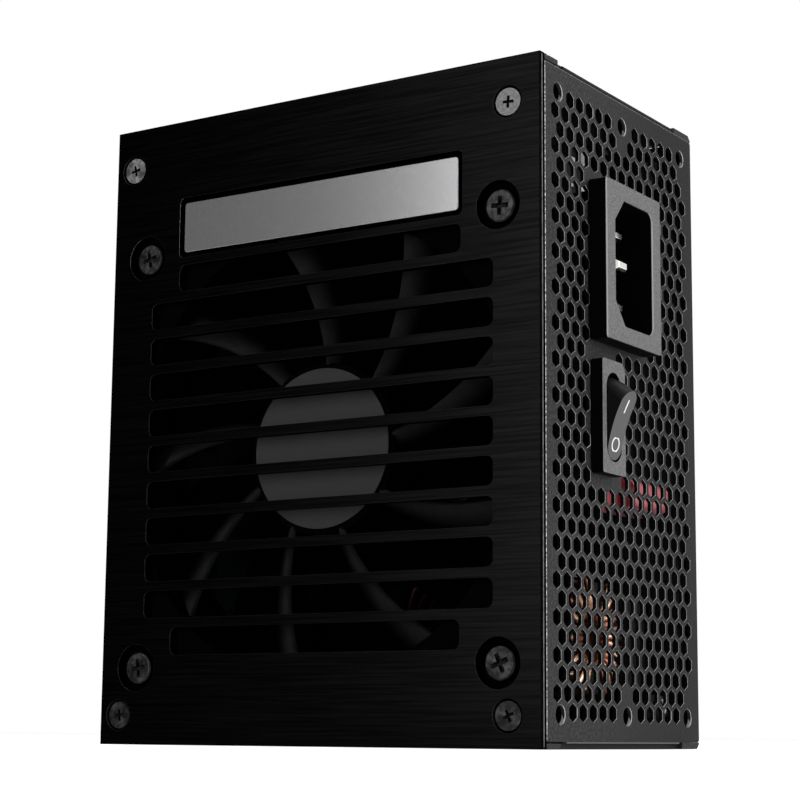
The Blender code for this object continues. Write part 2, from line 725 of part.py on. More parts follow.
def blade_point(radius, along, side):
    """A point of one blade: along runs from its leading to its trailing edge."""
    lead = BLADE_START + BLADE_SWEEP * (radius - HUB_DIAMETER / 2)
    angle = lead - BLADE_CHORD * along
    depth = BLADE_SINK + BLADE_DEPTH * along * (1 + BLADE_CURVE * (1 - along))
    thin = 1 - BLADE_THINNING * abs(2 * along - 1)
    y = FAN_NEAR + depth + side * BLADE / 2 * thin
    return Vector((radius * math.cos(angle), y, FAN_HEIGHT + radius * math.sin(angle)))


def rotor_blade(surface, turn):
    """One swept, twisted blade, as a closed grid of points over its two faces."""
    bm = bmesh.new()
    root = HUB_DIAMETER / 2 - HUB_WALL / 2
    tip = FAN_BORE / 2 - TIP_GAP
    spans = BLADE_SPANS
    radii = [root + (tip - root) * i / spans for i in range(spans + 1)]
    along = [i / spans for i in range(spans + 1)]
    sides = [[[bm.verts.new(blade_point(r, a, side)) for a in along] for r in radii]
             for side in (-1, 1)]
    for grid in sides:
        for i in range(spans):
            for j in range(spans):
                bm.faces.new((grid[i][j], grid[i + 1][j], grid[i + 1][j + 1], grid[i][j + 1]))
    rims = []
    for grid in sides:
        rims.append(grid[0][:-1] + [row[-1] for row in grid[:-1]]
                    + grid[-1][:0:-1] + [row[0] for row in grid[:0:-1]])
    for i in range(len(rims[0])):
        bm.faces.new((rims[0][i - 1], rims[0][i], rims[1][i], rims[1][i - 1]))
    bmesh.ops.rotate(bm, cent=FAN_AXIS, verts=bm.verts, matrix=Matrix.Rotation(turn, 3, "Y"))
    return finish(bm, "blade", surface)


def fan_rotor(surface):
    """The cup-shaped hub, open behind over the motor, with its blades."""
    outer, inner = HUB_DIAMETER / 2, HUB_DIAMETER / 2 - HUB_WALL
    disc = DISC_DIAMETER / 2 + SEAT
    sunk = HUB_FACE + DISC
    profile = [(0, sunk), (disc, sunk), (disc, HUB_FACE), (outer - HUB_CHAMFER, HUB_FACE),
               (outer, HUB_FACE + HUB_CHAMFER), (outer, HUB_FACE + HUB_LENGTH),
               (inner, HUB_FACE + HUB_LENGTH), (inner, sunk + HUB_WALL), (0, sunk + HUB_WALL)]
    rotor = turned("fan_rotor", surface, FAN_AXIS, (0, 1, 0), profile, ROTOR_STEPS,
                   pivot=FAN_AXIS, smooth=math.radians(40))
    blades = [rotor_blade(surface, i * 2 * math.pi / BLADE_COUNT) for i in range(BLADE_COUNT)]
    boolean(rotor, several("rotor_blades", surface, blades), "UNION")
    return rotor


def fan_motor(surfaces):
    """The pieces inside the hub: shaft, sleeve, magnet ring and stator."""
    hub_inside = HUB_FACE + DISC + HUB_WALL
    shaft_end = FAN_FAR - TUBE_WALL - SEAT
    radius = SHAFT_DIAMETER / 2
    shaft = turned("fan_shaft", surfaces["steel"], FAN_AXIS, (0, 1, 0),
                   [(0, hub_inside + SEAT), (radius, hub_inside + SEAT),
                    (radius, shaft_end - radius / 2), (radius / 2, shaft_end), (0, shaft_end)],
                   12, pivot=FAN_AXIS, smooth=math.radians(40))
    tube_start = HUB_FACE + HUB_WALL + 2 * SHAFT_DIAMETER / 3
    inner = radius + SEAT
    outer = inner + BEARING_WALL
    turned("fan_bearing", surfaces["brass"], FAN_AXIS, (0, 1, 0),
           [(inner, tube_start + SEAT), (outer, tube_start + SEAT),
            (outer, shaft_end - radius), (inner, shaft_end - radius)], 12, closed=True)
    magnet_outer = HUB_DIAMETER / 2 - HUB_WALL - SEAT
    magnet_inner = magnet_outer - MAGNET
    start = hub_inside + SEAT
    magnet = turned("fan_magnet", surfaces["ferrite"], FAN_AXIS, (0, 1, 0),
                    [(magnet_inner, start), (magnet_outer, start),
                     (magnet_outer, start + MAGNET_LENGTH), (magnet_inner, start + MAGNET_LENGTH)],
                    18, closed=True, pivot=FAN_AXIS)
    hole = SHAFT_DIAMETER + 2 * (2 * SEAT + BEARING_WALL + TUBE_WALL + SEAT)
    neck = hole / 2 + STATOR_NECK
    waist = neck * STATOR_WAIST
    head, root = STATOR_HEAD, STATOR_ROOT
    outline = []
    for i in range(STATOR_POLES):
        turn = i * 2 * math.pi / STATOR_POLES
        outline += arc(0, FAN_HEIGHT, neck, turn - root, turn - root, 1)[:1]
        outline += arc(0, FAN_HEIGHT, waist, turn - head / 3, turn - head / 3, 1)[:1]
        outline += arc(0, FAN_HEIGHT, STATOR_DIAMETER / 2, turn - head, turn + head, 4)
        outline += arc(0, FAN_HEIGHT, waist, turn + head / 3, turn + head / 3, 1)[:1]
        outline += arc(0, FAN_HEIGHT, neck, turn + root, turn + root, 1)[:1]
    begin = start + MAGNET_LENGTH - STATOR
    sheet("fan_stator", surfaces["copper"], fan_side, outline, begin, begin + STATOR,
          [circle(0, FAN_HEIGHT, hole, 12)])
    return shaft, magnet


def hub_disc(surface):
    return turned("hub_disc", surface, FAN_AXIS, (0, 1, 0),
                  [(0, HUB_FACE - SEAT), (DISC_DIAMETER / 2, HUB_FACE - SEAT),
                   (DISC_DIAMETER / 2, HUB_FACE + DISC - SEAT), (0, HUB_FACE + DISC - SEAT)],
                  36, pivot=FAN_AXIS, smooth=math.radians(40))


def fan_lead(surface):
    """The fan's own lead, from its frame down to the main board."""
    start, end = FAN_FAR + SEAT, PART_FOOT
    (x, z), (far_x, far_z) = LEAD_START, LEAD_END
    route = [Vector((x + (far_x - x) * way, start + (end - start) * depth, z + (far_z - z) * way))
             for way, depth in LEAD_COURSE]
    curve = bpy.data.curves.new("fan_lead", "CURVE")
    curve.dimensions = "3D"
    curve.bevel_depth = LEAD_DIAMETER / 2
    curve.bevel_resolution = 2
    curve.use_fill_caps = True
    spline = curve.splines.new("POLY")
    spline.points.add(LEAD_POINTS - 1)
    for i in range(LEAD_POINTS):
        spline.points[i].co = (*smooth_route(route, i / (LEAD_POINTS - 1)), 1)
    curve.materials.append(surface)
    lead = bpy.data.objects.new("fan_lead", curve)
    bpy.context.scene.collection.objects.link(lead)
    return lead


def smooth_route(route, share):
    """A point on the Catmull-Rom curve through the route's points."""
    place = share * (len(route) - 1)
    i = min(int(place), len(route) - 2)
    t = place - i
    before = route[max(i - 1, 0)]
    after = route[min(i + 2, len(route) - 1)]
    a, b = route[i], route[i + 1]
    return 0.5 * ((2 * a) + (b - before) * t + (2 * before - 5 * a + 4 * b - after) * t ** 2
                  + (3 * a - before - 3 * b + after) * t ** 3)


# Mains inlet and switch
def cavity_outline():
    """The socket's opening: two corners cut off on the earth side, two rounded."""
    width, height = INLET_CAVITY
    a, b = width / 2, height / 2
    cut, tall = INLET_CHAMFER
    y, z = INLET_SIDE, INLET_UP
    r = INLET_CAVITY_CORNER
    points = [(y - a + cut, z + b), (y - a, z + b - tall),
              (y - a, z - b + tall), (y - a + cut, z - b)]
    points += arc(y + a - r, z - b + r, r, -math.pi / 2, 0, 2)
    return points + arc(y + a - r, z + b - r, r, 0, math.pi / 2, 2)


def pin_places():
    y, z = INLET_SIDE + PIN_SHIFT, INLET_UP
    return {
        "inlet_pin_live": (y, z + PIN_PITCH / 2, PIN_SINK),
        "inlet_pin_neutral": (y, z - PIN_PITCH / 2, PIN_SINK),
        "inlet_pin_earth": (INLET_SIDE + EARTH_SHIFT, z, EARTH_SINK),
    }


def inlet(housing_surface, pin_surface):
    face = PANEL_FACE + INLET_FLANGE_HEIGHT
    floor = face - INLET_CAVITY_DEPTH
    back = floor - INLET_FLOOR
    flange = rectangle(INLET_SIDE, INLET_UP, *INLET_FLANGE, INLET_CORNER)
    body = inlet_body()
    housing = layered("inlet_housing", housing_surface, rear_side,
                      [(flange, face), (flange, PANEL_FACE), (body, PANEL_FACE), (body, back)],
                      pockets=[(cavity_outline(), floor)])
    cuts = []
    for name, (y, z, sink) in pin_places().items():
        gap = 2 * SEAT
        outline = rectangle(y, z, PIN_WIDTH + gap, PIN_THICKNESS + gap)
        cuts.append(sheet("slot", housing_surface, rear_side, outline,
                          floor + INLET_FLOOR / 2, back - INLET_FLOOR / 2))
        blade = rectangle(y, z, PIN_WIDTH, PIN_THICKNESS)
        nose = rectangle(y, z, PIN_WIDTH * 0.7, PIN_THICKNESS * 0.55)
        layered(name, pin_surface, rear_side,
                [(nose, face - sink), (blade, face - sink - PIN_THICKNESS / 2),
                 (blade, back - PIN_TAIL)])
    boolean(housing, several("inlet_slots", housing_surface, cuts))


def switch_body(surface):
    face = PANEL_FACE + BEZEL_HEIGHT
    bezel = rectangle(SWITCH_SIDE, SWITCH_UP, *BEZEL, BEZEL_CORNER)
    body = switch_body_outline()
    back = PANEL_FACE - SWITCH_LENGTH
    opening = stadium(SWITCH_SIDE, SWITCH_UP, *SWITCH_OPENING)
    made = layered("switch_body", surface, rear_side,
                   [(bezel, face), (bezel, PANEL_FACE), (body, PANEL_FACE), (body, back)],
                   pockets=[(opening, back + SWITCH_FLOOR)])
    reach = SWITCH_OPENING[0] / 2 + PIVOT_BORE
    profile = [(0, -reach), (PIVOT_DIAMETER / 2 + SEAT, -reach),
               (PIVOT_DIAMETER / 2 + SEAT, reach), (0, reach)]
    boolean(made, turned("pivot_holes", surface, ROCKER_AXIS, (0, 1, 0), profile, 12))
    return made


def switch_rocker(surface):
    """A rocker with a dished face and rounded ends, at rest with its lower end in.

    It is built up along the line out of the pivot, and widens towards the pivot no
    more than lets its ends swing clear of the opening.
    """
    pivot = ROCKER_AXIS
    half = SWITCH_OPENING[0] / 2 - ROCKER_SIDE_GAP
    tilt = Matrix.Rotation(ROCKER_TILT, 3, "Y")

    def outward(u, v, level):
        return pivot + tilt @ Vector((level, u, v))

    def sideways(u, v, level):
        return pivot + tilt @ Vector((v, level, u))

    shoulder, shoulder_level = ROCKER_SHOULDER
    taper = (shoulder - ROCKER_TIP) / (ROCKER_RISE - shoulder_level)
    steps = [ROCKER_FOOT, (ROCKER_WAIST, 0), ROCKER_SHOULDER,
             (ROCKER_TIP - taper * ROCKER_OVER, ROCKER_RISE + ROCKER_OVER)]
    rocker = layered("switch_rocker", surface, outward,
                     [(stadium(0, 0, 2 * half, 2 * reach, 8), level) for reach, level in steps],
                     pivot=pivot, smooth=math.radians(35))
    spread = math.asin((ROCKER_TIP + ROCKER_OVER) / ROCKER_DISH)
    middle = ROCKER_RISE + math.sqrt(ROCKER_DISH ** 2 - ROCKER_TIP ** 2)
    dish = [(z, x) for x, z in arc(middle, 0, ROCKER_DISH, math.pi - spread, math.pi + spread, 8)]
    over = ROCKER_RISE + 2 * ROCKER_OVER
    dish += [(dish[-1][0], over), (dish[0][0], over)]
    boolean(rocker, sheet("rocker_dish", surface, sideways, dish, -2 * half, 2 * half))
    reach = SWITCH_OPENING[0] / 2 + SWITCH_WALL - SEAT
    radius = PIVOT_DIAMETER / 2
    pins = turned("rocker_pins", surface, pivot, (0, 1, 0),
                  [(0, -reach), (radius, -reach), (radius, reach), (0, reach)], 10)
    boolean(rocker, pins, "UNION")
    return rocker


def switch_tags(surface):
    thickness, width, length = TAG
    start = PANEL_FACE - SWITCH_LENGTH - SEAT
    for name, step in (("switch_tag_line", 1), ("switch_tag_load", -1)):
        outline = rectangle(SWITCH_SIDE, SWITCH_UP + step * TAG_PITCH / 2, width, thickness)
        nose = rectangle(SWITCH_SIDE, SWITCH_UP + step * TAG_PITCH / 2, width * 0.6, thickness)
        layered(name, surface, rear_side, [(outline, start), (outline, start - length * 0.85),
                                           (nose, start - length)])


# Boards and the parts on them
def main_board(surface):
    middle = BOARD_SHIFT
    outline = rectangle(middle, MIDDLE, BOARD_LENGTH, BOARD_WIDTH)
    holes = [circle(x, z, BOARD_SCREW[2] + 2 * SCREW_PLAY, 8) for x, z in board_screw_places()]
    return sheet("main_board", surface, fan_side, outline, BOARD_FACE, BOARD_FACE + BOARD, holes)


def insulator_sheet(surface):
    outline = rectangle(BOARD_SHIFT, MIDDLE, BOARD_LENGTH, BOARD_WIDTH)
    holes = [circle(x, z, INSULATOR_HOLE, 8) for x, z in board_screw_places()]
    far = BASE_INSIDE - SEAT
    return sheet("insulator_sheet", surface, fan_side, outline, far - INSULATOR, far, holes)


def modular_board(surface):
    near = FRONT + SOCKET_DEPTH + SEAT
    top = FAN_FAR + MODULAR_BOARD_GAP
    outline = rectangle((top + PART_FOOT) / 2, MIDDLE, PART_FOOT - top, MODULAR_BOARD_WIDTH)
    return sheet("modular_board", surface, rear_side, outline, near, near + BOARD)


def cable_sockets(surface):
    for name, (columns, rise, side) in socket_places().items():
        cells = []
        for row in (-0.5, 0.5):
            for column in range(columns):
                z = MIDDLE + rise + (column - (columns - 1) / 2) * CELL_PITCH
                cells.append((rectangle(side + row * CELL_PITCH, z, CELL, CELL),
                              FRONT + SOCKET_FLOOR))
        outline = socket_outline(columns, side, rise)
        layered(name, surface, rear_side,
                [(outline, FRONT), (outline, FRONT + SOCKET_DEPTH)], pockets=cells)


def film_capacitor(surface):
    x, z = FILM_PLACE
    length, thick, tall = FILM_SIZE
    body = rectangle(x, z, length, thick, thick / 5, 1)
    top = rectangle(x, z, length - thick / 5, thick * 0.8, thick / 5, 1)
    return layered("film_capacitor", surface, fan_side,
                   [(top, PART_FOOT - tall), (body, PART_FOOT - tall + thick / 10),
                    (body, PART_FOOT)])


def winding(name, surface, centre, axis, core, start, turn):
    """A wound stretch of a ring core, as a square sleeve round it."""
    steps = math.ceil(turn / (2 * math.pi / CORE_STEPS)) + 1
    outer, inner, low, high = core
    loops = []
    for grow in (SEAT + CHOKE_WIRE, SEAT):
        loops.append([(inner - grow, low - grow), (outer + grow, low - grow),
                      (outer + grow, high + grow), (inner - grow, high + grow)])
    bm = bmesh.new()
    axis = Vector(axis)
    side = Matrix.Rotation(start, 3, axis) @ axis.orthogonal().normalized()
    rings = [[bm.verts.new(centre + side * r + axis * h) for r, h in loop] for loop in loops]
    faces = [bm.faces.new((rings[0][i - 1], rings[0][i], rings[1][i], rings[1][i - 1]))
             for i in range(4)]
    bmesh.ops.spin(bm, geom=faces, cent=centre, axis=axis, angle=turn, steps=steps)
    return finish(bm, name, surface, smooth=math.radians(40))


def ring_core(name, surface, centre, axis, core):
    outer, inner, low, high = core
    return turned(name, surface, centre, axis,
                  [(inner, low), (outer, low), (outer, high), (inner, high)], CORE_STEPS,
                  closed=True, smooth=math.radians(40))


def filter_choke(surfaces):
    """The mains filter: a ring core with two windings, on a plastic base."""
    x, z, y = CHOKE_PLACE
    outer, inner = (diameter / 2 for diameter in CHOKE_DIAMETERS)
    core = (outer, inner, -CHOKE_LENGTH / 2, CHOKE_LENGTH / 2)
    centre = Vector((x, y, z))
    ring_core("choke_core", surfaces["ferrite"], centre, (1, 0, 0), core)
    for name, side in (("choke_winding_line", 0), ("choke_winding_neutral", 1)):
        start = side * math.pi + (math.pi - CHOKE_WOUND) / 2 + math.pi / 2
        winding(name, surfaces["copper"], centre, (1, 0, 0), core, start, CHOKE_WOUND)
    foot = y + outer + SEAT + CHOKE_WIRE
    length, width = CHOKE_BASE
    sheet("choke_base", surfaces["plastic"], fan_side, rectangle(x, z, length, width),
          foot + SEAT, PART_FOOT)


def storage_coil(surfaces):
    x, z = COIL_PLACE
    outer, inner = (diameter / 2 for diameter in COIL_DIAMETERS)
    high = PART_FOOT - SEAT - CHOKE_WIRE
    core = (outer, inner, high - COIL_HEIGHT, high)
    centre = Vector((x, 0, z))
    ring_core("coil_core", surfaces["ferrite"], centre, (0, 1, 0), core)
    winding("coil_winding", surfaces["copper"], centre, (0, 1, 0), core, 0, COIL_WOUND)


def storage_capacitor(surface):
    """The large can that holds the charge, with the crimp near its foot."""
    x, z = CAN_PLACE
    radius, top = CAN_DIAMETER / 2, PART_FOOT - CAN_HEIGHT
    crimp = PART_FOOT - 4 * CAN_GROOVE
    profile = [(0, top), (radius - CAN_GROOVE, top), (radius, top + 2 * CAN_GROOVE),
               (radius, crimp - CAN_GROOVE), (radius - CAN_GROOVE, crimp),
               (radius, crimp + CAN_GROOVE), (radius, PART_FOOT), (0, PART_FOOT)]
    return turned("storage_capacitor", surface, Vector((x, 0, z)), (0, 1, 0), profile, 18,
                  smooth=math.radians(40))


def transformer(surfaces):
    """A two-window core with its winding round the middle leg."""
    x, z = TRANSFORMER_PLACE
    wide, tall, thick = CORE_SIZE
    window, opening = CORE_WINDOW
    y = PART_FOOT - tall / 2
    windows = [rectangle(x + side * (CORE_LEG + window) / 2, y, window, opening)
               for side in (-1, 1)]
    sheet("transformer_core", surfaces["ferrite"], end_side, rectangle(x, y, wide, tall),
          z - thick / 2, z + thick / 2, windows)
    outer = rectangle(x, z, CORE_LEG + 2 * (window - SEAT), thick + 2 * WINDING_BULGE,
                      WINDING_BULGE / 2)
    hole = rectangle(x, z, CORE_LEG + 2 * SEAT, thick + 2 * SEAT)
    sheet("transformer_winding", surfaces["tape"], fan_side, outer,
          y - opening / 2 + SEAT, y + opening / 2 - SEAT, [hole])


def heatsinks(surface):
    """Extruded plates with a row of fins along one side."""
    length, thick, tall = SINK_SIZE
    fin, reach = SINK_FIN
    for name, (x, z) in (("primary_heatsink", PRIMARY_SINK),
                         ("secondary_heatsink", SECONDARY_SINK)):
        left = x - length / 2
        step = (length - fin) / (SINK_FINS - 1)
        outline = [(left + length, z), (left, z)]
        for i in range(SINK_FINS):
            start = left + i * step
            outline += [(start, z + thick + reach), (start + fin, z + thick + reach)]
            if i < SINK_FINS - 1:
                outline += [(start + fin, z + thick), (start + step, z + thick)]
        sheet(name, surface, fan_side, outline, PART_FOOT - tall, PART_FOOT)


def screws(surfaces):
    for i, (x, z) in enumerate(fan_screw_places()):
        pan_screw(f"fan_screw_{i + 1}", surfaces["zinc"], FAN_SCREW,
                  Vector((x, COVER_FACE - SEAT, z)), (0, 1, 0))
    for i, (x, z) in enumerate(plate_screw_places()):
        flat_screw(f"plate_screw_{i + 1}", surfaces["black_steel"], PLATE_SCREW,
                   Vector((x, FAN_FACE + PLATE_SCREW_SINK, z)), (0, 1, 0))
    for i, (x, y, z, inward) in enumerate(cover_screw_places()):
        flat_screw(f"cover_screw_{i + 1}", surfaces["black_steel"], COVER_SCREW,
                   Vector((x, y, z + inward * COVER_SCREW_SINK)), (0, 0, inward))
    for i, (x, z) in enumerate(board_screw_places()):
        pan_screw(f"board_screw_{i + 1}", surfaces["zinc"], BOARD_SCREW,
                  Vector((x, BOARD_FACE - SEAT, z)), (0, 1, 0))


def surfaces():
    return {
        "brushed": material("brushed_black_aluminium", (0.035, 0.035, 0.037), 0.34, 1.0),
        "badge": material("satin_silver_aluminium", (0.62, 0.62, 0.63), 0.30, 1.0),
        "coated": material("black_powder_coat", (0.045, 0.045, 0.047), 0.62),
        "plastic": material("black_moulded_plastic", (0.05, 0.05, 0.052), 0.48),
        "grey_plastic": material("dark_grey_plastic", (0.11, 0.11, 0.115), 0.52),
        "disc": material("grey_label", (0.16, 0.16, 0.165), 0.55),
        "zinc": material("zinc_plated_steel", (0.60, 0.60, 0.60), 0.32, 1.0),
        "black_steel": material("blackened_steel", (0.10, 0.10, 0.10), 0.42, 1.0),
        "steel": material("ground_steel", (0.55, 0.55, 0.56), 0.25, 1.0),
        "brass": material("plain_brass", (0.70, 0.52, 0.24), 0.35, 1.0),
        "pin": material("nickel_plated_brass", (0.72, 0.70, 0.66), 0.24, 1.0),
        "ferrite": material("grey_ferrite", (0.07, 0.07, 0.075), 0.70),
        "copper": material("enamelled_copper", (0.55, 0.22, 0.08), 0.35, 1.0),
        "tape": material("yellow_polyester_tape", (0.75, 0.55, 0.10), 0.45),
        "film": material("red_film_capacitor", (0.62, 0.08, 0.09), 0.40),
        "can": material("black_capacitor_sleeve", (0.03, 0.03, 0.035), 0.30),
        "board": material("green_circuit_board", (0.03, 0.14, 0.06), 0.45),
        "insulator": material("clear_insulator", (0.70, 0.70, 0.66), 0.35),
        "aluminium": material("extruded_aluminium", (0.66, 0.66, 0.67), 0.38, 1.0),
        "lead": material("lead_sleeve", (0.02, 0.02, 0.02), 0.50),
    }


def main():
    clear_scene()
    finish_of = surfaces()
    front_plate(finish_of["brushed"])
    badge_plate(finish_of["badge"])
    fan_cover(finish_of["coated"])
    chassis_tray(finish_of["coated"])
    rear_panel(finish_of["coated"])
    fan_frame(finish_of["plastic"])
    rotor = fan_rotor(finish_of["plastic"])
    shaft, magnet = fan_motor(finish_of)
    disc = hub_disc(finish_of["disc"])
    on_axis("fan_axis", FAN_AXIS, [rotor, shaft, magnet, disc])
    inlet(finish_of["grey_plastic"], finish_of["pin"])
    switch_body(finish_of["grey_plastic"])
    switch_tags(finish_of["pin"])
    on_axis("rocker_axis", ROCKER_AXIS, [switch_rocker(finish_of["grey_plastic"])])
    main_board(finish_of["board"])
    insulator_sheet(finish_of["insulator"])
    modular_board(finish_of["board"])
    cable_sockets(finish_of["plastic"])
    film_capacitor(finish_of["film"])
    filter_choke(finish_of)
    storage_coil(finish_of)
    storage_capacitor(finish_of["can"])
    transformer(finish_of)
    heatsinks(finish_of["aluminium"])
    screws(finish_of)
    fan_lead(finish_of["lead"])


main()
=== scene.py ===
# Compact power supply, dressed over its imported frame. Lengths are in millimetres, and mm makes them metres.
import math
from collections import namedtuple

import bpy
from mathutils import Matrix, Vector


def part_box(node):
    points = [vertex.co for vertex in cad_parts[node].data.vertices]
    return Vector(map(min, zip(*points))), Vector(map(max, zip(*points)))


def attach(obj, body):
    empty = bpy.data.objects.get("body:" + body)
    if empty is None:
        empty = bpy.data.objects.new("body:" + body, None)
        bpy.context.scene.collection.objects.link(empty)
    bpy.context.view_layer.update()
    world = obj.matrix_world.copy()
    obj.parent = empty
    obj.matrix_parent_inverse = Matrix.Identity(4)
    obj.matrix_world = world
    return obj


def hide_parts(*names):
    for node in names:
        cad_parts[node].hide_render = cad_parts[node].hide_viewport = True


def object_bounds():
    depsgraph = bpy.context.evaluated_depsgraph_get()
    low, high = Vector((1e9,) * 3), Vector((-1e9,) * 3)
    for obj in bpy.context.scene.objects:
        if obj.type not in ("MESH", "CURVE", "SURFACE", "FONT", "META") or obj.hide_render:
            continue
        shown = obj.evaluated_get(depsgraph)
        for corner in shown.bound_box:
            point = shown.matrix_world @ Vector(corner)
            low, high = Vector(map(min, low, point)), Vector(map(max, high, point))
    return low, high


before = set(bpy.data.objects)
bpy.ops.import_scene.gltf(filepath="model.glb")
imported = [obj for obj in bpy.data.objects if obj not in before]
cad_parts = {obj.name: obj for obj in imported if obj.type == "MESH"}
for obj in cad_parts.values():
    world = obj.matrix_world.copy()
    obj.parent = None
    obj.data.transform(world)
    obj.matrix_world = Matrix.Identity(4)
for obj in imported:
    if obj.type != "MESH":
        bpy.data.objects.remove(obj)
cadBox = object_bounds()
mm = 0.001
close = 0.01
axisX, axisY, axisZ = (1, 0, 0), (0, 1, 0), (0, 0, 1)
triple = namedtuple("triple", "x y z")


# Selecting and shaping

def setMode(mode):
    bpy.ops.object.mode_set(mode=mode)


def clearSelection():
    if bpy.context.object and bpy.context.object.mode != "OBJECT":
        setMode("OBJECT")
    bpy.ops.object.select_all(action="DESELECT")


def pickOnly(piece):
    clearSelection()
    piece.select_set(True)
    bpy.context.view_layer.objects.active = piece


def settle(piece, name=None):
    # the place goes into the mesh, so the object stays at the origin
    pickOnly(piece)
    bpy.ops.object.transform_apply(location=True, rotation=True, scale=True)
    if name:
        piece.name = piece.data.name = name
    return piece


def boxOf(node):
    # a node's lowest and highest corners, left as exact as the frame has them
    return [triple(*(v / mm for v in corner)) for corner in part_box(node)]


def between(value, low, high, margin):
    return low + margin < value < high - margin


def addBlock(name, lowest, highest):
    middle = [(a + b) / 2 * mm for a, b in zip(lowest, highest)]
    bpy.ops.mesh.primitive_cube_add(size=1, location=middle)
    piece = bpy.context.object
    piece.scale = [(b - a) * mm for a, b in zip(lowest, highest)]
    return settle(piece, name)


def addRod(name, centre, axis, radius, length, sides=64, farRadius=None):
    # a rod round its centre; farRadius makes it a cone towards the end of axis
    turn = Vector((0, 0, 1)).rotation_difference(Vector(axis)).to_euler()
    place = dict(location=[c * mm for c in centre], rotation=turn, depth=length * mm, vertices=sides)
    if farRadius is None:
        bpy.ops.mesh.primitive_cylinder_add(radius=radius * mm, **place)
    else:
        bpy.ops.mesh.primitive_cone_add(radius1=radius * mm, radius2=farRadius * mm, **place)
    return settle(bpy.context.object, name)


def choose(piece, kind, test):
    # leaves the piece in edit mode with what passes the test: a face by its normal and its middle,
    # an edge by its two ends, a corner by its place
    pickOnly(piece)
    setMode("EDIT")
    bpy.ops.mesh.select_mode(type=kind)
    bpy.ops.mesh.select_all(action="DESELECT")
    setMode("OBJECT")
    mesh = piece.data
    if kind == "FACE":
        for face in mesh.polygons:
            face.select = bool(test(face.normal, face.center / mm))
    elif kind == "EDGE":
        for edge in mesh.edges:
            edge.select = bool(test(*(mesh.vertices[i].co / mm for i in edge.vertices)))
    else:
        for corner in mesh.vertices:
            corner.select = bool(test(corner.co / mm))
    setMode("EDIT")


def shift(*value):
    bpy.ops.transform.translate(value=[v * mm for v in value])


def insetFaces(width):
    bpy.ops.mesh.inset(thickness=width * mm)


def bevelEdges(piece, width, steps, test):
    choose(piece, "EDGE", test)
    bpy.ops.mesh.bevel(offset=width * mm, segments=steps, affect="EDGES")
    setMode("OBJECT")


def moveCorners(piece, test, *value):
    choose(piece, "VERT", test)
    shift(*value)
    setMode("OBJECT")


def roundCorners(piece, axis, radius, steps=8, test=None):
    # bevels the edges that run along one axis: 0, 1 or 2
    def along(a, b):
        run = [abs(a[i] - b[i]) for i in range(3)]
        return (run[axis] > close and max(run[i] for i in range(3) if i != axis) < close / 10
            and (test is None or test((a + b) / 2)))
    bevelEdges(piece, radius, steps, along)
    return piece


def modify(piece, kind, **settings):
    modifier = piece.modifiers.new(kind, kind)
    for label, value in settings.items():
        setattr(modifier, label, value)
    pickOnly(piece)
    bpy.ops.object.modifier_apply(modifier=modifier.name)


def combine(piece, other, operation="DIFFERENCE"):
    # cuts the other solid out of the piece, or joins it on
    modify(piece, "BOOLEAN", object=other, operation=operation, solver="EXACT")
    bpy.data.objects.remove(other)
    return piece


def gather(pieces, name=None):
    clearSelection()
    for piece in pieces:
        piece.select_set(True)
    bpy.context.view_layer.objects.active = pieces[0]
    if len(pieces) > 1:
        bpy.ops.object.join()
    joined = bpy.context.object
    if name:
        joined.name = joined.data.name = name
    return joined


def smooth(piece, angle=32):
    pickOnly(piece)
    bpy.ops.object.shade_smooth_by_angle(angle=math.radians(angle))
    return piece


def soften(piece, width, steps=2, angle=30):
    # breaks the sharp edges and shades the rest smooth
    modify(piece, "BEVEL", width=width * mm, segments=steps, limit_method="ANGLE",
        angle_limit=math.radians(angle), use_clamp_overlap=True, miter_outer="MITER_ARC")
    smooth(piece)
    modify(piece, "WEIGHTED_NORMAL", weight=100, keep_sharp=True)
    return piece


def openWhole(piece):
    # leaves the piece in edit mode with all of it selected
    pickOnly(piece)
    setMode("EDIT")
    bpy.ops.mesh.select_all(action="SELECT")


def fixNormals(piece):
    openWhole(piece)
    bpy.ops.mesh.remove_doubles(threshold=0.000001)
    bpy.ops.mesh.normals_make_consistent(inside=False)
    setMode("OBJECT")
    return piece


def twinOf(piece, name):
    twin = piece.copy()
    twin.data = piece.data.copy()
    twin.name = twin.data.name = name
    bpy.context.scene.collection.objects.link(twin)
    return twin


def copyOf(piece, name, matrix):
    twin = twinOf(piece, name)
    twin.matrix_world = matrix
    return settle(twin)


def framePiece(node, name, width=0.0, steps=2, angle=30, whole=True):
    # a merged copy of a frame node, with its flats made whole and its edges broken
    piece = twinOf(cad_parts[node], name)
    piece.parent = None
    for key in list(piece.keys()):
        del piece[key]
    pickOnly(piece)
    bpy.ops.mesh.customdata_custom_splitnormals_clear()
    openWhole(piece)
    bpy.ops.mesh.remove_doubles(threshold=0.000002)
    if whole:
        bpy.ops.mesh.dissolve_limited(angle_limit=math.radians(0.6))
    setMode("OBJECT")
    return soften(piece, width, steps, angle) if width else smooth(piece)


def hand(piece, finish, slotName, *nodes, body="housing"):
    # gives a finished piece its material, its body and the nodes that it stands for
    if finish:
        piece.data.materials.clear()
        piece.data.materials.append(finishes[finish])
    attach(piece, body)
    if nodes:
        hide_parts(*nodes)
    return piece


def paint(piece, finish, test):
    # puts a second finish on the faces whose normal and middle pass the test
    piece.data.materials.append(finishes[finish])
    index = len(piece.data.materials) - 1
    for face in piece.data.polygons:
        if test(face.normal, face.center / mm):
            face.material_index = index


# Materials

